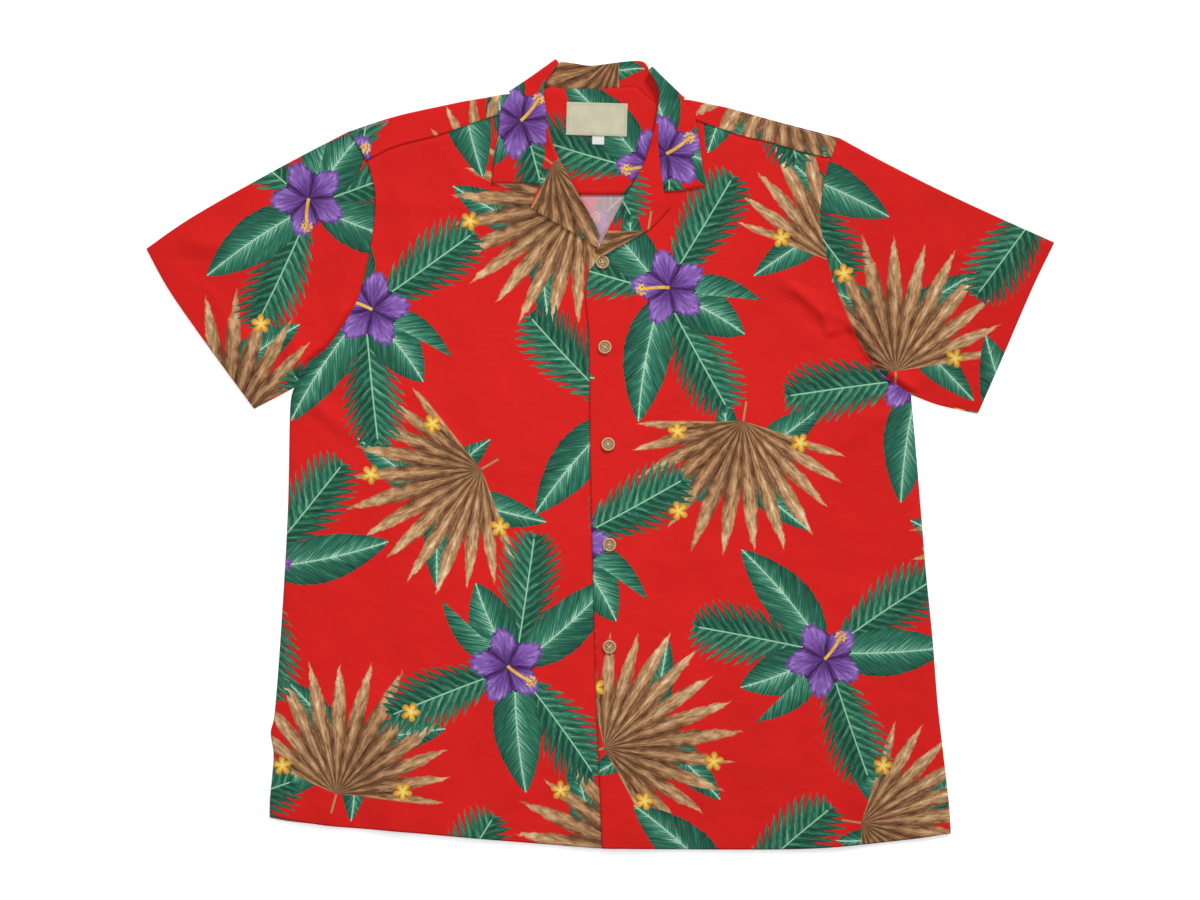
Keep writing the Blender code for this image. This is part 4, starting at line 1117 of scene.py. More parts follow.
def tab_shell():
    """The size tab: a short tape folded in two, its ends under the label."""
    half_across, half_up = TAB_HALF
    bend = np.linspace(-math.pi / 2, math.pi / 2, 8)[1:-1]
    reach = np.linspace(4.0, -2 * half_up + 0.3, 14)
    share = np.linspace(0, 1, 14)
    low = np.full(14, 0.16)
    high = 0.34 + 0.24 * share ** 0.6
    middle, radius = (low[-1] + high[-1]) / 2, (high[-1] - low[-1]) / 2
    up = np.concatenate([reach, reach[-1] - radius * np.cos(bend), reach[::-1]]) + half_up
    height = np.concatenate([low, middle + radius * np.sin(bend), high[::-1]])
    across, rows = np.meshgrid(np.linspace(-half_across, half_across, 12), up)
    p = leaning(np.stack([across, rows], -1), TAB_MIDDLE)
    curl = 0.10 * (across / half_across) ** 2
    level = lining_top(p) + height[:, None] + curl
    walked = walked_along(np.column_stack([up, height]))
    return [(raised(p, level), np.stack(np.broadcast_arrays(across, walked[:, None]), -1))]


# Buttons and thread


def loop_round_hole(ring, hole, radius):
    """The circle about a hole, with a point straight towards each point of the ring."""
    return hole + radius * unit(ring - hole)


def button_section(radius):
    """Height of a button's face at a distance from its middle: a dished plate in a round rim."""
    rim = np.clip((radius - BUTTON_PLATE) / (BUTTON_RADIUS - BUTTON_PLATE), 0, 1)
    groove = 0.12 * bell(radius - BUTTON_PLATE, 0.35)
    dish = BUTTON_DISH * (1 - ease(rim, 0, 0.42))
    return BUTTON_THICKNESS - dish - groove - 0.05 * (radius < 0.1)


def button_grids():
    """A turned button with four holes, about its middle, as grids of points.

    Each quarter of the face is a ring about its hole: from the underside's edge to the hole, up
    the hole's wall, over its rounded mouth and out to the quarter's edge. The rim is a profile
    carried round.
    """
    grids = []
    for quarter in range(4):
        start = quarter * math.pi / 2
        arc = start + np.linspace(0, math.pi / 2, 13)
        side = np.linspace(0, 1, 7)[:, None]
        corner = BUTTON_PLATE * np.column_stack([np.cos(arc), np.sin(arc)])
        ring = np.vstack([corner, corner[-1] * (1 - side[1:]), corner[0] * side[1:]])
        middle = start + math.pi / 4
        hole = BUTTON_HOLE_REACH * np.array([math.cos(middle), math.sin(middle)])
        rows = []
        for mouth, height, share in BUTTON_RINGS:
            circle = loop_round_hole(ring, hole, BUTTON_HOLE_RADIUS * mouth)
            flat = circle + (ring - circle) * share
            level = button_section(lengths(flat)) if height is None else np.full(len(flat), height)
            rows.append(raised(flat, level))
        grids.append(np.array(rows))
    turn = np.linspace(0, math.tau, 49)
    bend = np.linspace(0, math.pi / 2, 6)[1:]
    further_in, height = np.array(BUTTON_UNDERSIDE).T
    out = np.concatenate([
        np.linspace(BUTTON_PLATE, BUTTON_RADIUS - BUTTON_ROUND, 7),
        BUTTON_RADIUS - BUTTON_ROUND + BUTTON_ROUND * np.sin(bend),
        BUTTON_RADIUS - further_in, [BUTTON_PLATE],
    ])
    level = np.concatenate([
        button_section(out[:7]), BUTTON_THICKNESS - BUTTON_ROUND * (1 - np.cos(bend)),
        height, [0],
    ])
    level[6] = BUTTON_THICKNESS
    out, level = out[:, None], level[:, None]
    rim = np.stack(np.broadcast_arrays(out * np.cos(turn), out * np.sin(turn), level), -1)
    return grids, rim


def turned_button(name, middle, turn, material):
    """One button, its grids turned about its middle and set down there."""
    grids, rim = button_grids()
    c, s = math.cos(turn), math.sin(turn)
    spin = np.array([[c, s, 0], [-s, c, 0], [0, 0, 1]])
    made = [(grid @ spin + middle, grid[..., :2]) for grid in grids + [rim]]
    points, places, faces = gathered(made)
    piece = mesh_piece(name, points, places, faces, [material])
    build = bmesh.new()
    build.from_mesh(piece.data)
    bmesh.ops.recalc_face_normals(build, faces=build.faces)
    build.to_mesh(piece.data)
    build.free()
    return piece


def tube(path, radius, sides=8):
    """A round profile carried along a path of points, and its coordinates along and around.

    radius may change along the path. The profile stays square to the path.
    """
    run = unit(np.gradient(path, axis=0))
    beside = np.cross(run, (0, 0, 1.0))
    weak = lengths(beside) < 0.05
    beside[weak] = beside[~weak][0] if (~weak).any() else (1, 0, 0)
    beside = unit(beside)
    above = np.cross(beside, run)
    angle = np.linspace(0, math.tau, sides + 1)[:, None]
    radius = np.broadcast_to(radius, len(path))[:, None, None]
    round_it = np.cos(angle) * beside[:, None] + np.sin(angle) * above[:, None]
    place = np.stack(np.broadcast_arrays(walked_along(path)[:, None], angle[:, 0] * 0.15), -1)
    return path[:, None] + radius * round_it, place


def thread_through(middle, turn):
    """The thread of one button: three strands along each diagonal, from the cloth and back."""
    grids = []
    t = np.linspace(-1, 1, 21)
    for diagonal in (0, 1):
        angle = turn + math.pi / 4 + diagonal * math.pi / 2
        along_it = np.array([math.cos(angle), math.sin(angle)])
        beside = np.array([-along_it[1], along_it[0]])
        for strand in (-1, 0, 1):
            out = BUTTON_HOLE_REACH * np.clip(t * 1.75, -1, 1) * (1 - 0.10 * np.abs(t))
            arch = BUTTON_THICKNESS - BUTTON_DISH + 0.24 + 0.16 * diagonal + 0.10 * (strand == 0)
            down = np.clip((np.abs(t) - 0.52) / 0.48, 0, 1)
            height = arch - 0.10 * (np.abs(t) / 0.55) ** 2 - (arch + 0.55) * down ** 1.1
            flat = along_it * out[:, None] + beside * (strand * THREAD_SPACING)
            grids.append(tube(raised(flat, height) + middle, THREAD_RADIUS, 6))
    return grids


def buttonhole_ring(place, surface):
    """The stitched ring round one buttonhole: a satin bead carried round a long narrow loop."""
    width, half = BUTTONHOLE
    turn = np.linspace(0, math.tau, 181)
    across = width * np.cos(turn)
    up = np.clip(np.sin(turn) * 1.35, -1, 1) * half + np.sin(turn) * 0.5
    path = np.stack([across, up], -1) + place
    path = raised(path, top_of(surface)(path))
    satin = 0.38 + 0.05 * np.sin(np.arange(181) * 2.4)
    grid, where = tube(path, satin, 7)
    grid[..., 2] = path[:, None, 2] + (grid[..., 2] - path[:, None, 2]) * 0.45
    return grid, where


# Stitches

# One stitch lies along the first axis: two ends and two rings of four corners
STITCH_POINTS = np.array([(-0.5, 0, -0.8)] + [
    (x, 0.9 * math.cos(turn), 0.9 * math.sin(turn))
    for x in (-0.3, 0.3) for turn in np.arange(4) * math.pi / 2
] + [(0.5, 0, -0.8)])
STITCH_FACES = np.array(
    [(0, 2, 1), (0, 3, 2), (0, 4, 3), (0, 1, 4)]
    + [
        face for k, after in ((1, 2), (2, 3), (3, 4), (4, 1))
        for face in ((k, after, k + 4), (after, after + 4, k + 4))
    ]
    + [(9, 5, 6), (9, 6, 7), (9, 7, 8), (9, 8, 5)]
)


def stitch_row(line, level, pitch=2.6, radius=0.2, below=False):
    """Points and faces of a row of lock stitches along a line, on the surface with the given level.

    Each stitch is as long as the pitch less a small gap, and its ends dip into the cloth.
    """
    steps = max(int(round(lengths(np.diff(line, axis=0)).sum() / pitch)), 1)
    knots = resampled(line, np.linspace(0, 1, steps + 1))
    knots = raised(knots, level(knots))
    run = np.diff(knots, axis=0)
    forward = unit(run)
    beside = unit(np.cross((0, 0, 1.0), forward))
    over_it = np.cross(forward, beside) * (-1 if below else 1)
    x, y, z = STITCH_POINTS.T
    middle = (knots[1:] + knots[:-1]) / 2
    points = (
        middle[:, None]
        + (x[None, :, None] * 0.9) * run[:, None]
        + radius * y[None, :, None] * beside[:, None]
        + radius * z[None, :, None] * over_it[:, None]
    )
    faces = (STITCH_FACES[None] + 10 * np.arange(steps)[:, None, None]).reshape(-1, 3)
    if below:
        faces = faces[:, ::-1]
    walked = np.arange(steps)[:, None] * pitch + x[None] * pitch
    places = np.stack([walked, np.broadcast_to(y[None] * radius, walked.shape)], -1)
    return points.reshape(-1, 3), places.reshape(-1, 2), faces


def stitch_piece(name, rows, material):
    """Several rows of stitches as one piece."""
    points, places, faces = zip(*rows)
    counts = np.cumsum([0] + [len(row) for row in points])
    faces = np.vstack([row + count for row, count in zip(faces, counts)])
    return mesh_piece(name, np.vstack(points), np.vstack(places), faces, [material])


# Materials


class Term:
    """A number or vector that a material works out. Arithmetic on it adds a node to its tree."""

    def __init__(self, tree, socket):
        self.tree, self.socket = tree, socket

    def __rsub__(self, other):
        return calc("SUBTRACT", other, self)

    def __abs__(self):
        return calc("ABSOLUTE", self)


for sign, operation in (
    ("add", "ADD"), ("radd", "ADD"), ("sub", "SUBTRACT"), ("mul", "MULTIPLY"),
    ("rmul", "MULTIPLY"), ("truediv", "DIVIDE"), ("pow", "POWER"),
):
    setattr(Term, f"__{sign}__", lambda one, other, kind=operation: calc(kind, one, other))


def put(tree, value, socket):
    """Gives a node's input a term or a plain value."""
    if isinstance(value, Term):
        tree.links.new(value.socket, socket)
    else:
        socket.default_value = value


def node(tree, kind, inputs, output=0, **settings):
    """Adds a node with its inputs given by name or number, and returns one output, or them all."""
    made = tree.nodes.new("ShaderNode" + kind)
    for name, value in settings.items():
        setattr(made, name, value)
    for name, value in inputs.items():
        put(tree, value, made.inputs[name])
    return made if output is None else Term(tree, made.outputs[output])


def tree_of(values):
    """The tree that the first term among some values belongs to."""
    return next(value.tree for value in values if isinstance(value, Term))


def calc(operation, *values, clamp=False):
    """A Math node of up to three values, terms or plain numbers."""
    inputs = dict(enumerate(values))
    return node(tree_of(values), "Math", inputs, operation=operation, use_clamp=clamp)


def vector(operation, *values):
    """A Vector Math node. A plain number as the second value scales all three parts."""
    inputs = dict(zip((0, "Scale") if operation == "SCALE" else (0, 1), values))
    output = 1 if operation == "LENGTH" else 0
    return node(tree_of(values), "VectorMath", inputs, output, operation=operation)


def parts(term):
    """The two flat parts of a vector."""
    split = node(term.tree, "SeparateXYZ", {0: term}, None)
    return Term(term.tree, split.outputs[0]), Term(term.tree, split.outputs[1])


def turned(place, angle):
    """A place turned about the origin, in the plane."""
    return node(place.tree, "VectorRotate", {"Vector": place, "Angle": angle},
                rotation_type="Z_AXIS")


def sharp(value, edge):
    """0 below zero and 1 above it, over a ramp as wide as edge."""
    return calc("MULTIPLY_ADD", value, 1 / edge, 0.5, clamp=True)


def ramp(value, *stops):
    """A colour ramp with stops of position and colour."""
    made = node(value.tree, "ValToRGB", {0: value}, None)
    band = made.color_ramp.elements
    while len(band) < len(stops):
        band.new(0.5)
    for slot, (position, colour) in zip(band, stops):
        slot.position = position
        slot.color = (*colour, 1)
    return Term(value.tree, made.outputs[0])


def over(below, above, share, **blend):
    """One colour laid over another."""
    return node(below.tree, "Mix", {0: share, 6: below, 7: above}, 2, data_type="RGBA", **blend)


def noise(place, scale, detail=2.0, rough=0.5):
    """Cloudy noise from 0 to 1 over a place."""
    inputs = {"Vector": place, "Scale": scale, "Detail": detail, "Roughness": rough}
    return node(place.tree, "TexNoise", inputs, "Fac")


def wave(across, pitch):
    """A wave from 0 to 1 that comes back every pitch."""
    return calc("SINE", across * (math.tau / pitch)) * 0.5 + 0.5


def linear(*colour):
    """A screen colour of 0 to 255 as the linear one that materials use."""
    share = np.array(colour) / 255
    return tuple(np.where(share < 0.04045, share / 12.92, ((share + 0.055) / 1.055) ** 2.4))


def scattered(place, cell, lattice_turn, shift, jitter, seed):
    """Cuts the cloth into square cells with a motif in each.

    Returns each point's place from its motif's middle in millimetres, turned by a random angle of
    the cell.
    """
    spot = vector("ADD", vector("SCALE", turned(place, lattice_turn), 1 / cell), (*shift, 0))
    corner = vector("FLOOR", spot)
    seeded = vector("ADD", corner, (seed, 2.7 * seed, 0))
    chance = node(place.tree, "TexWhiteNoise", {0: seeded}, "Color", noise_dimensions="3D")
    astray = vector("ADD", vector("SCALE", chance, jitter), (0.5 - jitter / 2,) * 3)
    middle = vector("ADD", corner, astray)
    local = vector("MULTIPLY", vector("SUBTRACT", spot, middle), (cell, cell, 0))
    return turned(local, parts(chance)[0] * math.tau)


def fanned(local, count, offset, spread, seed):
    """Folds a place into the nearest of count directions round the middle.

    Each direction leans by its own random angle of up to spread. Returns the place along and
    beside the direction, and a random number of the direction.
    """
    x, y = parts(local)
    angle = calc("ARCTAN2", y, x) + offset
    number = calc("ROUND", angle * (count / math.tau))
    chance = node(local.tree, "TexWhiteNoise",
                  {"W": calc("MULTIPLY_ADD", number, 1.7, seed)}, "Value", noise_dimensions="1D")
    lean = calc("MULTIPLY_ADD", chance, 2 * spread, -spread - offset)
    back = calc("MULTIPLY_ADD", number, math.tau / count, lean) * -1
    return *parts(turned(local, back)), chance


def brushed(along_stroke, across_stroke, seed, fineness=0.55):
    """Brush strokes: noise that is drawn out along each stroke."""
    stroke = {0: along_stroke * 0.07, 1: across_stroke * fineness, 2: seed}
    return noise(node(along_stroke.tree, "CombineXYZ", stroke), 1.0, 3.0, 0.62)


def broad_leaf(along_leaf, beside, chance, start, length, width):
    """Mask and tone of a long leaf with a smooth edge, bent to one side.

    Its half width is a power of the sine of the share of its length. Its tone is brushed along
    slanted veins, falls from the midrib to the edge, and is lighter on one half.
    """
    share = (along_leaf - start) / (length * (0.74 + 0.42 * chance))
    bent = beside - (chance - 0.5) * 34 * share * share
    turn = calc("MINIMUM", calc("MAXIMUM", share * math.pi, 0), math.pi)
    half = width * calc("MAXIMUM", calc("SINE", turn), 0) ** 0.7 * (1.14 - 0.36 * share)
    away = abs(bent)
    slanted = along_leaf - away * 1.25
    half = half * (1 + (brushed(slanted, slanted, chance * 7, 0.16) - 0.5) * 0.22)
    mask = sharp(half - away - 0.3, 0.5)
    across = away / (half + 0.4)
    strokes = brushed(away, slanted, chance * 9 + 1.5)
    tone = 0.33 + (strokes - 0.5) * 1.7 + (1 - across) ** 3 * 0.42
    tone = tone + sharp(bent, 6) * 0.13 - across ** 6 * 0.2
    rib = sharp(0.85 - away, 0.5)
    return mask, calc("MAXIMUM", tone, rib * 0.96)


def frond(along_leaf, beside, chance, start, length, width, pitch, streaks):
    """Mask and tone of a feather palm leaf: leaflets that slant forward from a bent midrib.

    A leaflet's number is the slanted distance along the rib over the pitch. It narrows by a power
    of its share of the envelope, which is a power of a sine along the leaf.
    """
    share = (along_leaf - start) / length
    bent = beside - (chance - 0.5) * 30 * share * share
    away = abs(bent)
    slanted = along_leaf - start - away * 0.95
    lengthwise = slanted / length
    inside = calc("MINIMUM", calc("MAXIMUM", lengthwise * math.pi, 0.0), math.pi)
    envelope = width * calc("MAXIMUM", calc("SINE", inside), 0.001) ** 0.6
    out = away / envelope
    numbered = slanted / pitch + (streaks - 0.5) * 0.9
    across = abs(calc("FRACT", numbered) - 0.5) * 2
    room = 1.0 - out ** 2.2 - across * 0.84
    rib = sharp(0.8 - away, 0.4) * sharp(share * length, 2) * sharp(0.97 - share, 0.02)
    mask = calc("MAXIMUM", sharp(room, 0.12) * sharp(lengthwise * (1 - lengthwise), 0.01), rib)
    strokes = brushed(away, slanted, 3.3, 0.9)
    tone = 0.62 - across * 0.42 - out * 0.16 + sharp(bent, 4) * 0.13 + (strokes - 0.5) * 1.1
    return mask, calc("MAXIMUM", tone, rib)


def flower(local, radius, streaks, seed):
    """Mask, tone and yolk of a five-petalled flower with ruffled edges and a long pistil.

    The edge's radius is a raised cosine of five times the angle plus a small ripple.
    """
    x, y = parts(local)
    away = vector("LENGTH", local)
    angle = calc("ARCTAN2", y, x)
    petal = calc("COSINE", angle * 5)
    ripple = calc("SINE", angle * 31 + streaks * 9)
    edge = radius * (0.80 + 0.16 * petal + 0.03 * ripple)
    mask = sharp(edge - away, 0.6)
    share = away / edge
    strokes = brushed(away, angle, seed, 9.0)
    crease = (1 - petal) * 0.5
    tone = 0.08 + share * 0.62 + (strokes - 0.5) * 1.3 - crease ** 6 * 0.5
    tone = tone - sharp(share - 0.93, 0.08) * 0.35
    pistil = sharp(1.5 - abs(y - x * x * 0.006), 0.6) * sharp(x, 1) * sharp(radius * 0.72 - x, 1)
    tip = vector("LENGTH", vector("SUBTRACT", local, (radius * 0.68, radius * radius * 0.0028, 0)))
    grain = noise(local, 0.42, 0)
    dots = sharp(radius * 0.15 - tip, 0.8) * sharp(grain - 0.46, 0.05)
    return mask, tone, calc("MAXIMUM", pistil, dots)


def fan_leaf(local, radius, streaks):
    """Mask and tone of a pleated fan palm leaf that spreads from a point of its edge.

    Pleats are equal angles about that point. The tip of each is pointed and split from its
    neighbours over the outer part.
    """
    base = vector("ADD", local, (radius * 0.62, 0, 0))
    x, y = parts(base)
    away = vector("LENGTH", base)
    angle = calc("ARCTAN2", y, x)
    across = abs(calc("FRACT", angle * 4.3 + 0.5 + (streaks - 0.5) * 0.25) - 0.5) * 2
    reach = calc("MAXIMUM", calc("COSINE", angle * 0.62), 0.0) ** 0.55 * (radius * 1.6)
    reach = reach * (1 + (brushed(angle, angle, 5.0, 2.3) - 0.5) * 0.35)
    share = away / reach
    split = 1.06 - across * 0.26 - share
    gap = 1.0 - across + (0.55 - share) * 2.0
    mask = sharp(calc("MINIMUM", split * 8, gap * 5), 0.5) * sharp(1.42 - abs(angle), 0.03)
    stem = sharp(1.1 - abs(y), 0.5) * sharp(x * -1, 1) * sharp(x + radius * 0.25, 1)
    strokes = brushed(away, angle, 2.0, 26.0)
    tone = 0.74 - across * 0.46 - (1 - share) * 0.26 + (strokes - 0.5) * 1.5 + sharp(y, 12) * 0.08
    return calc("MAXIMUM", mask, stem), calc("MAXIMUM", tone, stem * 0.6)


def blossom(local, count, seed, ring, radius, streaks):
    """Mask and tone of small blossoms set round a middle: round petals, darker towards the edge."""
    along_ring, beside, chance = fanned(local, count, 0.4, 0.5, seed)
    place = node(local.tree, "CombineXYZ", {0: along_ring - ring, 1: beside, 2: 0})
    x, y = parts(place)
    away = vector("LENGTH", place)
    angle = calc("ARCTAN2", y, x) + chance * 6
    petal = abs(calc("COSINE", angle * 2.5)) ** 0.6
    edge = radius * (0.42 + 0.58 * petal)
    share = away / edge
    return sharp(edge - away, 0.5), 1 - share * 0.85 + (streaks - 0.5) * 0.5 - (1 - petal) * 0.3


def palette(*stops):
    """The stops of a ramp from positions and screen colours."""
    return [(position, linear(*colour)) for position, *colour in stops]


GREEN = palette(
    (0.0, 14, 50, 40), (0.3, 30, 88, 70), (0.55, 44, 112, 88), (0.8, 92, 160, 132),
    (1.0, 185, 215, 190),
)
PALM_GREEN = palette(
    (0.0, 10, 44, 36), (0.35, 26, 84, 64), (0.65, 58, 130, 100), (1.0, 150, 200, 165),
)
TAN = palette(
    (0.0, 70, 42, 26), (0.3, 120, 80, 50), (0.6, 178, 134, 92), (0.85, 214, 176, 134),
    (1.0, 238, 214, 180),
)
PURPLE = palette(
    (0.0, 60, 28, 80), (0.3, 104, 62, 140), (0.6, 138, 98, 178), (0.85, 178, 154, 214),
    (1.0, 214, 200, 236),
)
GOLD = palette(
    (0.0, 150, 96, 40), (0.4, 226, 168, 58), (0.75, 242, 206, 96), (1.0, 250, 234, 170),
)

# Pairs of leaves beside each fan leaf. Columns: turn, lean, seed, length, half width.
LEAVES_BETWEEN = ((0.9, 0.40, 2.9, 108, 18), (2.2, 0.5, 7.7, 92, 14))


def inked(colour, inks, mask, tone):
    """A colour with a motif laid over it: its inks where its mask is, picked by its tone."""
    return over(colour, ramp(tone, *inks), mask)


def print_colour(place):
    """The printed pattern: bouquets of leaves and a flower, and fan leaves and blossoms between."""
    spacing, lean_of_rows = cloth_settings().motif_spacing / MM, cloth_settings().rows_lean
    ground = cloth_settings().ground
    streaks = noise(place, 0.11, 3.0, 0.62)
    darker, lighter = shade_of(ground, 0.97), shade_of(ground, 1.03)
    colour = ramp(noise(place, 0.012, 1.0), (0.3, darker), (0.7, lighter))
    middle = scattered(place, spacing, lean_of_rows, (0.5, 0.5), 0.08, 4.0)
    for offset, spread, seed, length, width in LEAVES_BETWEEN:
        leaf = fanned(middle, 2, offset, spread, seed)
        colour = inked(colour, GREEN, *broad_leaf(*leaf, 4, length, width))
    colour = inked(colour, TAN, *fan_leaf(middle, 80, streaks))
    bouquet = scattered(place, spacing, lean_of_rows, (0, 0), 0.06, 1.0)
    leaf = fanned(bouquet, 3, 0.0, 0.34, 5.3)
    colour = inked(colour, PALM_GREEN, *frond(*leaf, 6, 128, 33, 9.4, streaks))
    leaf = fanned(bouquet, 3, math.pi / 3, 0.32, 9.1)
    colour = inked(colour, GREEN, *broad_leaf(*leaf, 4, 111, 25))
    colour = inked(colour, GOLD, *blossom(middle, 3, 2.2, 70, 10, streaks))
    mask, tone, yolk = flower(vector("ADD", bouquet, (6, 4, 0)), 40, streaks, 3.0)
    colour = inked(colour, PURPLE, mask, tone)
    return inked(colour, GOLD, yolk, streaks)


def weave(place):
    """Bump of a plain weave of fine threads, uneven along them, over faint creases left by ironing.

    The threads are the product of two sines, half a millimetre apart.
    """
    x, y = parts(place)
    pitch = math.tau / (cloth_settings().thread_pitch / MM)
    threads = calc("SINE", x * pitch) * calc("SINE", y * pitch)
    slubs = noise(vector("MULTIPLY", place, (1.4, 0.16, 0)), 1.0, 2.0)
    fine = bumped(calc("MULTIPLY_ADD", threads, 0.4, slubs), 0.35, 0.00012)
    pressed = noise(place, 0.03, 3.0, 0.55)
    return bumped(pressed, 0.8, 0.003, Normal=fine)


def cloth_material(name, wrong_side):
    """Printed cloth. Its wrong side shows the same print, paler."""
    material, place = new_material(name, 0.82, 0.22, Sheen_Weight=0.03)
    colour = print_colour(place)
    if wrong_side:
        faded = cloth_settings()
        colour = over(colour, (*faded.wrong_side, 1), faded.wrong_side_share)
    shade = noise(vector("MULTIPLY", place, (2.2, 0.5, 0)), 1.0, 2.0) * 0.16 + 0.92
    colour = over(colour, shade, 1.0, blend_type="MULTIPLY")
    return sockets_set(material, Base_Color=colour, Normal=weave(place))


def printed(both_sides=False):
    """The materials of a printed piece: right side, and wrong side unless both are right."""
    names = ("print_right_side",) if both_sides else ("print_right_side", "print_wrong_side")
    for name in names:
        if name not in bpy.data.materials:
            cloth_material(name, name == "print_wrong_side")
    return [bpy.data.materials[name] for name in names]


def bumped(height, strength, distance, **sockets):
    """The surface's normal, tilted by a height of up to the given distance in metres."""
    inputs = {"Strength": strength, "Distance": distance, "Height": height, **sockets}
    return node(height.tree, "Bump", inputs)


def sockets_set(material, **values):
    """The material with terms or constants led to its shader's sockets."""
    inputs = material.node_tree.nodes["Principled BSDF"].inputs
    for socket, value in values.items():
        put(material.node_tree, value, inputs[socket.replace("_", " ")])
    return material


def bare_material(name, roughness, specular, **values):
    """A material whose finish is the same all over."""
    material = bpy.data.materials.new(name)
    material.use_nodes = True
    return sockets_set(material, Roughness=roughness, Specular_IOR_Level=specular, **values)


def new_material(name, roughness, specular, **values):
    """A material, and the place on its piece in millimetres."""
    material = bare_material(name, roughness, specular, **values)
    layer = node(material.node_tree, "UVMap", {}, uv_map="cloth")
    return material, vector("SCALE", layer, 1 / MM)


def coconut():
    """Polished coconut shell: tan and brown fibres that run one way, with a paler rim and a painted
    shade in the corner of the dish beside it.
    """
    material, place = new_material("coconut_shell", 0.4, 0.4, Coat_Weight=0.12)
    away = vector("LENGTH", vector("MULTIPLY", place, (1, 1, 0)))
    fibres = noise(vector("MULTIPLY", place, (0.32, 2.4, 0)), 1.0, 4.0, 0.6)
    blotches = noise(place, 0.35, 2.0)
    tone = fibres * 0.75 + blotches * 0.35
    shell = ramp(tone, *palette(
        (0.30, 96, 66, 36), (0.48, 150, 112, 66), (0.62, 182, 146, 94), (0.8, 206, 176, 124),
    ))
    rim = sharp(away - (BUTTON_RADIUS - BUTTON_RIM - 0.1), 0.9)
    colour = over(shell, (*linear(204, 176, 128), 1), rim * 0.62)
    # Painted shade: a darker ring in the corner of the dish, where the plate meets the rim.
    dish = sharp(0.7 - abs(away - (BUTTON_RADIUS - BUTTON_RIM - 0.9)), 0.6)
    colour = over(colour, (*linear(86, 58, 30), 1), dish * 0.55)
    dull = calc("MULTIPLY_ADD", fibres, -0.22, 0.5)
    normal = bumped(fibres, 0.25, 0.0001)
    return sockets_set(material, Base_Color=colour, Roughness=dull, Normal=normal)


def shade_of(colour, factor):
    """The same colour, darker or lighter."""
    return tuple(min(part * factor, 1) for part in colour[:3])


def thread_material(name, colour):
    """Spun thread: slanted plies across the strand, lighter on their crests, with painted shade in
    the grooves between them.
    """
    material, place = new_material(name, 0.7, 0.3)
    x, y = parts(place)
    plies = wave(x + y * 1.6, 0.42)
    # Painted shade: the grooves between the plies are darker than their crests.
    strand = ramp(plies, (0.1, shade_of(colour, 0.55)), (0.8, shade_of(colour, 1)))
    return sockets_set(material, Base_Color=strand, Normal=bumped(plies, 0.4, 0.00008))


def label_material(cream):
    """Cream woven label: fine ribs across it, a woven line inside its edges, faint uneven tone."""
    material, place = new_material("woven_cream", 0.75, 0.25)
    x, y = parts(place)
    ribs = wave(y, 0.45)
    weft = calc("SINE", x * (math.tau / 0.6) + noise(place, 0.6, 2.0) * 2) * 0.5 + 0.5
    tone = noise(place, 0.07, 3.0) * 0.6 + ribs * 0.15 + weft * 0.12 + 0.05
    colour = ramp(
        tone, (0.2, shade_of(cream, 0.77)), (0.55, shade_of(cream, 1)), (0.9, shade_of(cream, 1.17))
    )
    edge = calc("MINIMUM", LABEL_HALF[0] - abs(x), LABEL_HALF[1] - abs(y))
    line = sharp(0.3 - abs(edge - 2.4), 0.2)
    colour = over(colour, (*shade_of(cream, 0.62), 1), line * 0.5)
    normal = bumped(ribs + weft * 0.6, 0.5, 0.0001)
    return sockets_set(material, Base_Color=colour, Normal=normal)


def tape_material(white):
    """White tape of the size tab: a satin weave with fine ribs and a soft sheen."""
    material, place = new_material("white_tape", 0.5, 0.35, Sheen_Weight=0.05)
    ribs = wave(parts(place)[0], 0.4)
    tone = noise(place, 0.4, 2.0) * 0.7 + ribs * 0.3
    colour = ramp(tone, (0.2, shade_of(white, 0.83)), (0.8, shade_of(white, 1.08)))
    return sockets_set(material, Base_Color=colour, Normal=bumped(ribs, 0.4, 0.00008))


def floor_material(glow):
    """Matt white paper that gives a little light of its own, its tone faintly mottled."""
    white = (1, 1, 1, 1)
    material = bare_material("white_paper", 1.0, 0.0, Emission_Color=white, Emission_Strength=glow)
    tree = material.node_tree
    place = Term(tree, node(tree, "TexCoord", {}, None).outputs["Object"])
    low, high = ((tone,) * 3 for tone in FLOOR_TONES)
    return sockets_set(material, Base_Color=ramp(noise(place, 30.0), (0.3, low), (0.7, high)))


# The pieces


RIGHT.hem = tuple(point for point in HEM if point[0] <= 2) + ((26, 1),)
LEFT.hem = tuple(point for point in HEM if point[0] >= 2)[::-1]
for each_half in HALVES:
    each_half.lapel_rows = lapel_lines(each_half)
    each_half.surface = front_surface(each_half)


def trim(piece):
    """Tells the frame that a piece that isn't cloth belongs to the shirt."""
    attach(piece, "root")
    return piece


def grid_piece(name, grids, material):
    """One piece from several closed grids."""
    points, places, faces = gathered(grids)
    return mesh_piece(name, points, places, faces[:, ::-1], [material])


def top_of(surface):
    """The upper face of the cloth whose middle is the surface."""
    return lambda p: surface(p) + half_cloth()


def between(line, low, high):
    """The part of a line whose across lies between two values."""
    return line[(line[:, 0] > low) & (line[:, 0] < high)]


def cloth_settings():
    """What the cloth's panel sets."""
    return bpy.context.scene.shirt_cloth


def trim_settings():
    """What the trims' panel sets."""
    return bpy.context.scene.shirt_trims


def stage_settings():
    """What the stage's panel sets."""
    return bpy.context.scene.shirt_stage


# Settings


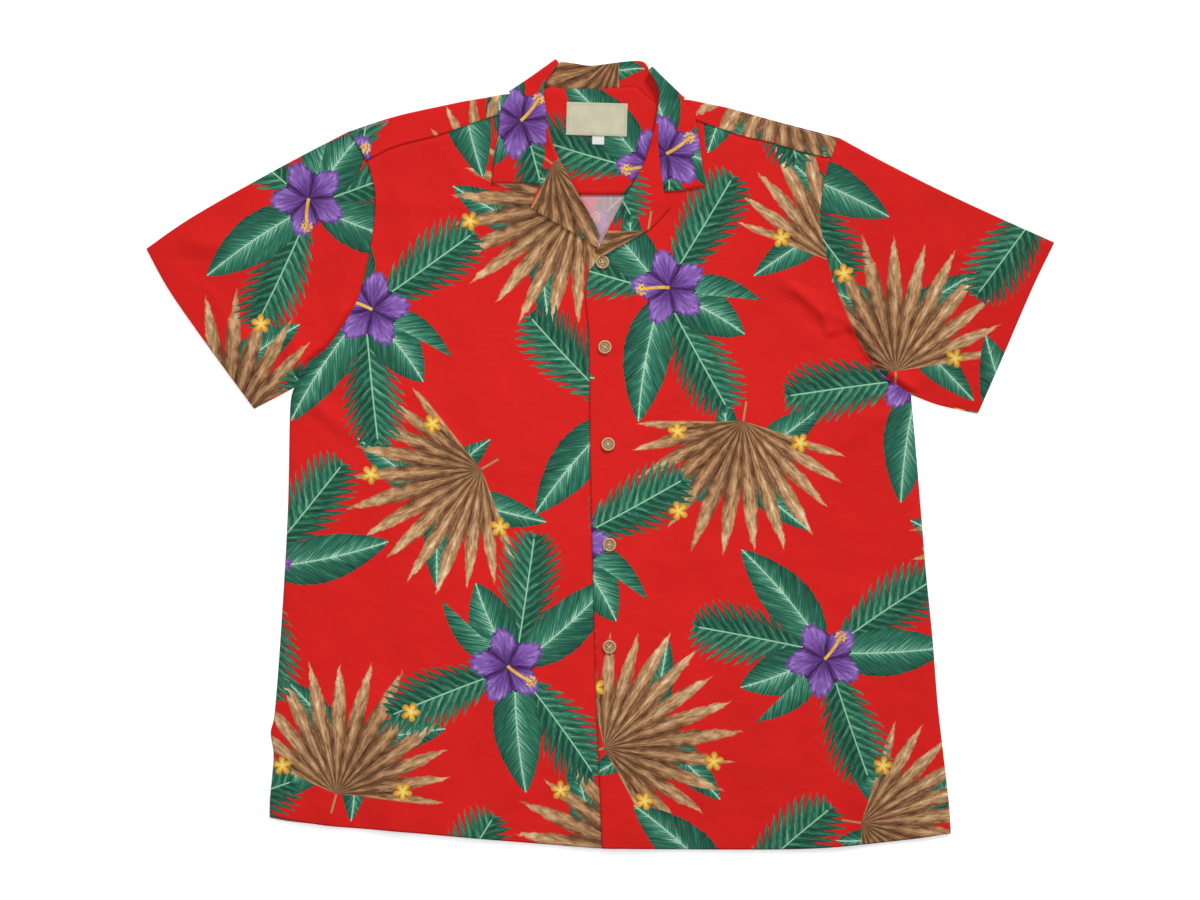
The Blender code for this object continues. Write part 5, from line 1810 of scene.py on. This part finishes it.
class ShirtClothSettings(bpy.types.PropertyGroup):
    """The printed cloth."""

    thickness: bpy.props.FloatProperty(
        name="Cloth thickness", description="Thickness of the cloth as it is shown", default=0.0008,
        min=0.0002, max=0.0011, precision=5, unit="LENGTH",
    )
    hem_depth: bpy.props.FloatProperty(
        name="Hem depth", description="From the lower edge to the stitched line", default=0.025,
        min=0.01, max=0.05, unit="LENGTH",
    )
    cuff_depth: bpy.props.FloatProperty(
        name="Cuff depth", description="From a sleeve's edge to its stitched line", default=0.026,
        min=0.01, max=0.05, unit="LENGTH",
    )
    motif_spacing: bpy.props.FloatProperty(
        name="Motif spacing", description="From one bouquet of the print to the next",
        default=0.276, min=0.15, max=0.6, unit="LENGTH",
    )
    rows_lean: bpy.props.FloatProperty(
        name="Lean of the rows", description="Angle of the rows of bouquets to the grain",
        default=0.37, min=-1.57, max=1.57, unit="ROTATION",
    )
    thread_pitch: bpy.props.FloatProperty(
        name="Thread pitch", description="From one thread of the weave to the next",
        default=0.00055, min=0.0002, max=0.003, precision=5, unit="LENGTH",
    )
    ground: bpy.props.FloatVectorProperty(
        name="Ground", description="Colour of the cloth behind the print",
        default=linear(211, 23, 19), subtype="COLOR", min=0, max=1,
    )
    wrong_side: bpy.props.FloatVectorProperty(
        name="Wrong side", description="Colour that the print fades towards on the wrong side",
        default=(0.70, 0.46, 0.52), subtype="COLOR", min=0, max=1,
    )
    wrong_side_share: bpy.props.FloatProperty(
        name="Fading of the wrong side", description="How far the print fades on the wrong side",
        default=0.62, min=0, max=1, subtype="FACTOR",
    )


class ShirtTrimSettings(bpy.types.PropertyGroup):
    """Buttons, thread and tags."""

    stitch_length: bpy.props.FloatProperty(
        name="Stitch length", description="From one stitch of a hem to the next", default=0.0026,
        min=0.001, max=0.006, precision=4, unit="LENGTH",
    )
    label_stitch: bpy.props.FloatProperty(
        name="Label stitch", description="From one stitch of the label's border to the next",
        default=0.0021, min=0.001, max=0.006, precision=4, unit="LENGTH",
    )
    seam_thread: bpy.props.FloatVectorProperty(
        name="Seam thread", description="Colour of the thread in hems and buttonholes",
        default=linear(206, 30, 26), subtype="COLOR", min=0, max=1,
    )
    button_thread: bpy.props.FloatVectorProperty(
        name="Button thread", description="Colour of the thread that holds the buttons",
        default=linear(228, 216, 188), subtype="COLOR", min=0, max=1,
    )
    label_thread: bpy.props.FloatVectorProperty(
        name="Label thread", description="Colour of the thread round the label",
        default=linear(206, 202, 178), subtype="COLOR", min=0, max=1,
    )
    label_cream: bpy.props.FloatVectorProperty(
        name="Label", description="Colour of the woven label", default=linear(208, 202, 174),
        subtype="COLOR", min=0, max=1,
    )
    tape_white: bpy.props.FloatVectorProperty(
        name="Size tab", description="Colour of the tape of the size tab",
        default=linear(232, 232, 229), subtype="COLOR", min=0, max=1,
    )


class ShirtStageSettings(bpy.types.PropertyGroup):
    """Floor, lights and camera."""

    floor_size: bpy.props.FloatProperty(
        name="Floor size", description="Length of each side of the floor", default=12.0,
        min=2, max=50, unit="LENGTH",
    )
    floor_glow: bpy.props.FloatProperty(
        name="Floor glow", description="Light that the floor gives, which keeps it white",
        default=0.45, min=0, max=2,
    )
    room_light: bpy.props.FloatProperty(
        name="Room light", description="Even light from all round", default=0.27, min=0, max=5,
    )
    key_light: bpy.props.FloatProperty(
        name="Key light", description="Broad light that falls from beyond the collar", default=2.2,
        min=0, max=10,
    )
    overhead_power: bpy.props.FloatProperty(
        name="Overhead light", description="Power of the round lamp above the chest", default=3.65,
        min=0, max=100, unit="POWER",
    )
    camera_height: bpy.props.FloatProperty(
        name="Camera height", description="Height of the camera above the floor", default=3.0,
        min=1, max=10, unit="LENGTH",
    )


# Operators


class SHIRT_OT_back(bpy.types.Operator):
    """Lay the back below the yoke, its printed side to the floor"""

    bl_idname = "shirt.back"
    bl_label = "Back"

    def execute(self, context):
        lay("back", back_shell(), "down", printed())
        return {"FINISHED"}


class SHIRT_OT_yoke(bpy.types.Operator):
    """Lay the yoke over both shoulders, and its lining inside it"""

    bl_idname = "shirt.yoke"
    bl_label = "Yoke and lining"

    def execute(self, context):
        lay("yoke", yoke_shell(), "down", printed())
        lay("yoke_lining", yoke_lining_shell(), "up", printed())
        return {"FINISHED"}


class SHIRT_OT_fronts(bpy.types.Operator):
    """Lay both fronts on the back, the left one over the right one"""

    bl_idname = "shirt.fronts"
    bl_label = "Fronts"

    def execute(self, context):
        for half, flat, area, rests_on in (
            (RIGHT, (0.356, 0.742), 0.2176, ["back"]),
            (LEFT, (0.3525, 0.742), 0.2124, ["back", "front_right"]),
        ):
            lay(f"front_{half.name}", front_shell(half), "up", printed())
        return {"FINISHED"}


class SHIRT_OT_lapels(bpy.types.Operator):
    """Turn the lapels out on the fronts"""

    bl_idname = "shirt.lapels"
    bl_label = "Lapels"

    def execute(self, context):
        both_right = printed(both_sides=True)
        for half, flat, area in (
            (RIGHT, (0.055, 0.125), 0.00435), (LEFT, (0.055, 0.14), 0.0049),
        ):
            lay(f"lapel_{half.name}", lapel_shell(half), "up", both_right)
        return {"FINISHED"}


class SHIRT_OT_collar(bpy.types.Operator):
    """Fold the camp collar round the neck"""

    bl_idname = "shirt.collar"
    bl_label = "Collar"

    def execute(self, context):
        lay("collar", collar_shell(), "up", printed(both_sides=True))
        return {"FINISHED"}


class SHIRT_OT_sleeves(bpy.types.Operator):
    """Lay both sleeves flat as closed tubes"""

    bl_idname = "shirt.sleeves"
    bl_label = "Sleeves"

    def execute(self, context):
        for half, area in ((RIGHT, 0.0727), (LEFT, 0.075)):
            lay(f"sleeve_{half.name}", sleeve_shell(half), "out", printed())
        return {"FINISHED"}


class SHIRT_OT_tags(bpy.types.Operator):
    """Sew the bare woven label and the size tab inside the neck"""

    bl_idname = "shirt.tags"
    bl_label = "Label and size tab"

    def execute(self, context):
        trims = trim_settings()
        lay("label", label_shell(), "up", [label_material(trims.label_cream)],
            LABEL_CLOTH)
        lay("size_tab", tab_shell(), "up", [tape_material(trims.tape_white)],
            TAB_CLOTH)
        half = np.array(LABEL_HALF) - LABEL_STITCH_INSET
        corners = np.array([(-1, -1), (1, -1), (1, 1), (-1, 1), (-1, -1)]) * half
        rows = []
        for line in zip(corners[:-1], corners[1:]):
            points, places, faces = stitch_row(
                np.array(line), label_top, trims.label_stitch / MM, LABEL_THREAD_RADIUS
            )
            on_shirt = leaning(points[:, :2], LABEL_MIDDLE)
            rows.append((raised(on_shirt, points[:, 2]), places, faces))
        thread = thread_material("label_thread", trims.label_thread)
        trim(stitch_piece("label_stitches", rows, thread))
        return {"FINISHED"}


class SHIRT_OT_buttons(bpy.types.Operator):
    """Sew on the five buttons, over the stitched rings of their buttonholes"""

    bl_idname = "shirt.buttons"
    bl_label = "Buttons"

    def execute(self, context):
        trims = trim_settings()
        shell = coconut()
        strands, rings = [], []
        for number, (place, turn) in enumerate(zip(BUTTONS, BUTTON_TURNS), 1):
            low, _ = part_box(f"button_{number}")
            middle = np.array([*place, low[2] / MM])
            button = trim(turned_button(f"button_{number}_turned", middle, turn, shell))
            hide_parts(f"button_{number}")
            strands += thread_through(middle, turn)
            rings.append(buttonhole_ring(place, LEFT.surface))
        thread = thread_material("button_thread", trims.button_thread)
        trim(grid_piece("button_threads", strands, thread))
        thread = thread_material("seam_thread", trims.seam_thread)
        trim(grid_piece("buttonhole_rings", rings, thread))
        return {"FINISHED"}


class SHIRT_OT_stitches(bpy.types.Operator):
    """Stitch the hems of the body and of both sleeves"""

    bl_idname = "shirt.stitches"
    bl_label = "Hem stitches"

    def execute(self, context):
        depth, cuff_depth = cloth_settings().hem_depth / MM, cloth_settings().cuff_depth / MM
        pitch = trim_settings().stitch_length / MM
        right_line = between(moved(smooth(RIGHT.hem), depth), *HEM_ROWS["right"])
        left_line = between(moved(smooth(LEFT.hem)[::-1], depth), *HEM_ROWS["left"])
        back_line = between(moved(smooth(HEM), depth), *HEM_ROWS["back"])
        underside = stitch_row(back_line, lambda p: back_level(p) - half_cloth(), pitch, below=True)
        rows = {
            "hem_stitches_right": [stitch_row(right_line, top_of(RIGHT.surface), pitch)],
            "hem_stitches_left": [stitch_row(left_line, top_of(LEFT.surface), pitch)],
            "hem_stitches_back": [underside],
        }

        def sleeve_beneath(p):
            return np.full(p.shape[:-1], FLOOR_LAYER - half_cloth())

        for half in HALVES:
            cuff, armhole = smooth(half.sleeve_hem), smooth(half.armhole)
            line = resampled(moved(cuff, half.side * cuff_depth), np.linspace(*CUFF_ROW, 120))

            def sleeve_level(p, cuff=cuff, armhole=armhole):
                return front_level(p) + sleeve_lift(p, armhole, cuff)

            rows[f"cuff_stitches_{half.name}"] = [
                stitch_row(line, top_of(sleeve_level), pitch),
                stitch_row(line, sleeve_beneath, pitch, below=True),
            ]
        for name, made in rows.items():
            trim(stitch_piece(name, made, bpy.data.materials["seam_thread"]))
        return {"FINISHED"}


class SHIRT_OT_stage(bpy.types.Operator):
    """Set up a plain white floor, soft light from all round, a broad key light and the camera"""

    bl_idname = "shirt.stage"
    bl_label = "Stage"

    def execute(self, context):
        scene, stage = context.scene, stage_settings()
        half = stage.floor_size / 2
        floor = bpy.data.meshes.new("floor")
        corners = [(-half, -half, 0), (half, -half, 0), (half, half, 0), (-half, half, 0)]
        floor.from_pydata(corners, [], [(0, 1, 2, 3)])
        floor.materials.append(floor_material(stage.floor_glow))
        made = bpy.data.objects.new("floor", floor)
        scene.collection.objects.link(made)
        room = bpy.data.worlds.new("room")
        room.use_nodes = True
        light = room.node_tree.nodes["Background"].inputs
        light["Color"].default_value = (1, 1, 1, 1)
        light["Strength"].default_value = stage.room_light
        scene.world = room
        key = bpy.data.lights.new("key", "SUN")
        key.energy = stage.key_light
        key.angle = math.radians(14)
        overhead = bpy.data.lights.new("overhead", "AREA")
        overhead.shape = "DISK"
        overhead.size = 0.8
        overhead.energy = stage.overhead_power
        for light, place, tilt in (
            (key, (0, 1, 2), (math.radians(-50), math.radians(28), 0)),
            (overhead, (-0.05, 0.10, 0.9), (0, 0, 0)),
        ):
            made = bpy.data.objects.new(light.name, light)
            made.location, made.rotation_euler = place, tilt
            scene.collection.objects.link(made)
        camera = bpy.data.cameras.new("camera")
        camera.sensor_width = SENSOR_WIDTH
        camera.lens = SENSOR_WIDTH * stage.camera_height / VIEW_WIDTH
        made = bpy.data.objects.new("camera", camera)
        made.location = (*VIEW_MIDDLE, stage.camera_height)
        scene.collection.objects.link(made)
        scene.camera = made
        scene.view_settings.view_transform = "Standard"
        return {"FINISHED"}


class SHIRT_PT_pieces(bpy.types.Panel):
    """The pieces of the shirt, in the order that they are laid"""

    bl_idname = "SHIRT_PT_pieces"
    bl_label = "Hawaiian shirt"
    bl_space_type = "VIEW_3D"
    bl_region_type = "UI"
    bl_category = "Shirt"

    def draw(self, context):
        for heading, settings, operators in (
            ("Cloth", cloth_settings(), CLOTH_OPERATORS),
            ("Trims", trim_settings(), TRIM_OPERATORS),
            ("Stage", stage_settings(), (SHIRT_OT_stage,)),
        ):
            box = self.layout.box()
            box.label(text=heading)
            for name in type(settings).__annotations__:
                box.prop(settings, name)
            for operator in operators:
                box.operator(operator.bl_idname)


SETTINGS = {
    "shirt_cloth": ShirtClothSettings,
    "shirt_trims": ShirtTrimSettings,
    "shirt_stage": ShirtStageSettings,
}
CLOTH_OPERATORS = (
    SHIRT_OT_back, SHIRT_OT_yoke, SHIRT_OT_fronts, SHIRT_OT_lapels, SHIRT_OT_collar,
    SHIRT_OT_sleeves,
)
TRIM_OPERATORS = (SHIRT_OT_tags, SHIRT_OT_buttons, SHIRT_OT_stitches)
CLASSES = (*SETTINGS.values(), *CLOTH_OPERATORS, *TRIM_OPERATORS, SHIRT_OT_stage, SHIRT_PT_pieces)


def register():
    """Adds the settings, the operators and the panel."""
    for made in CLASSES:
        bpy.utils.register_class(made)
    for name, settings in SETTINGS.items():
        setattr(bpy.types.Scene, name, bpy.props.PointerProperty(type=settings))


def unregister():
    """Takes them all away again."""
    for name in SETTINGS:
        delattr(bpy.types.Scene, name)
    for made in reversed(CLASSES):
        bpy.utils.unregister_class(made)


def main():
    """Makes every piece in order."""
    register()
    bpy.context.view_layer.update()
    bpy.ops.shirt.back()
    bpy.ops.shirt.yoke()
    bpy.ops.shirt.fronts()
    bpy.ops.shirt.lapels()
    bpy.ops.shirt.collar()
    bpy.ops.shirt.sleeves()
    bpy.ops.shirt.tags()
    bpy.ops.shirt.buttons()
    bpy.ops.shirt.stitches()
    bpy.ops.shirt.stage()


if __name__ == "__main__":
    main()
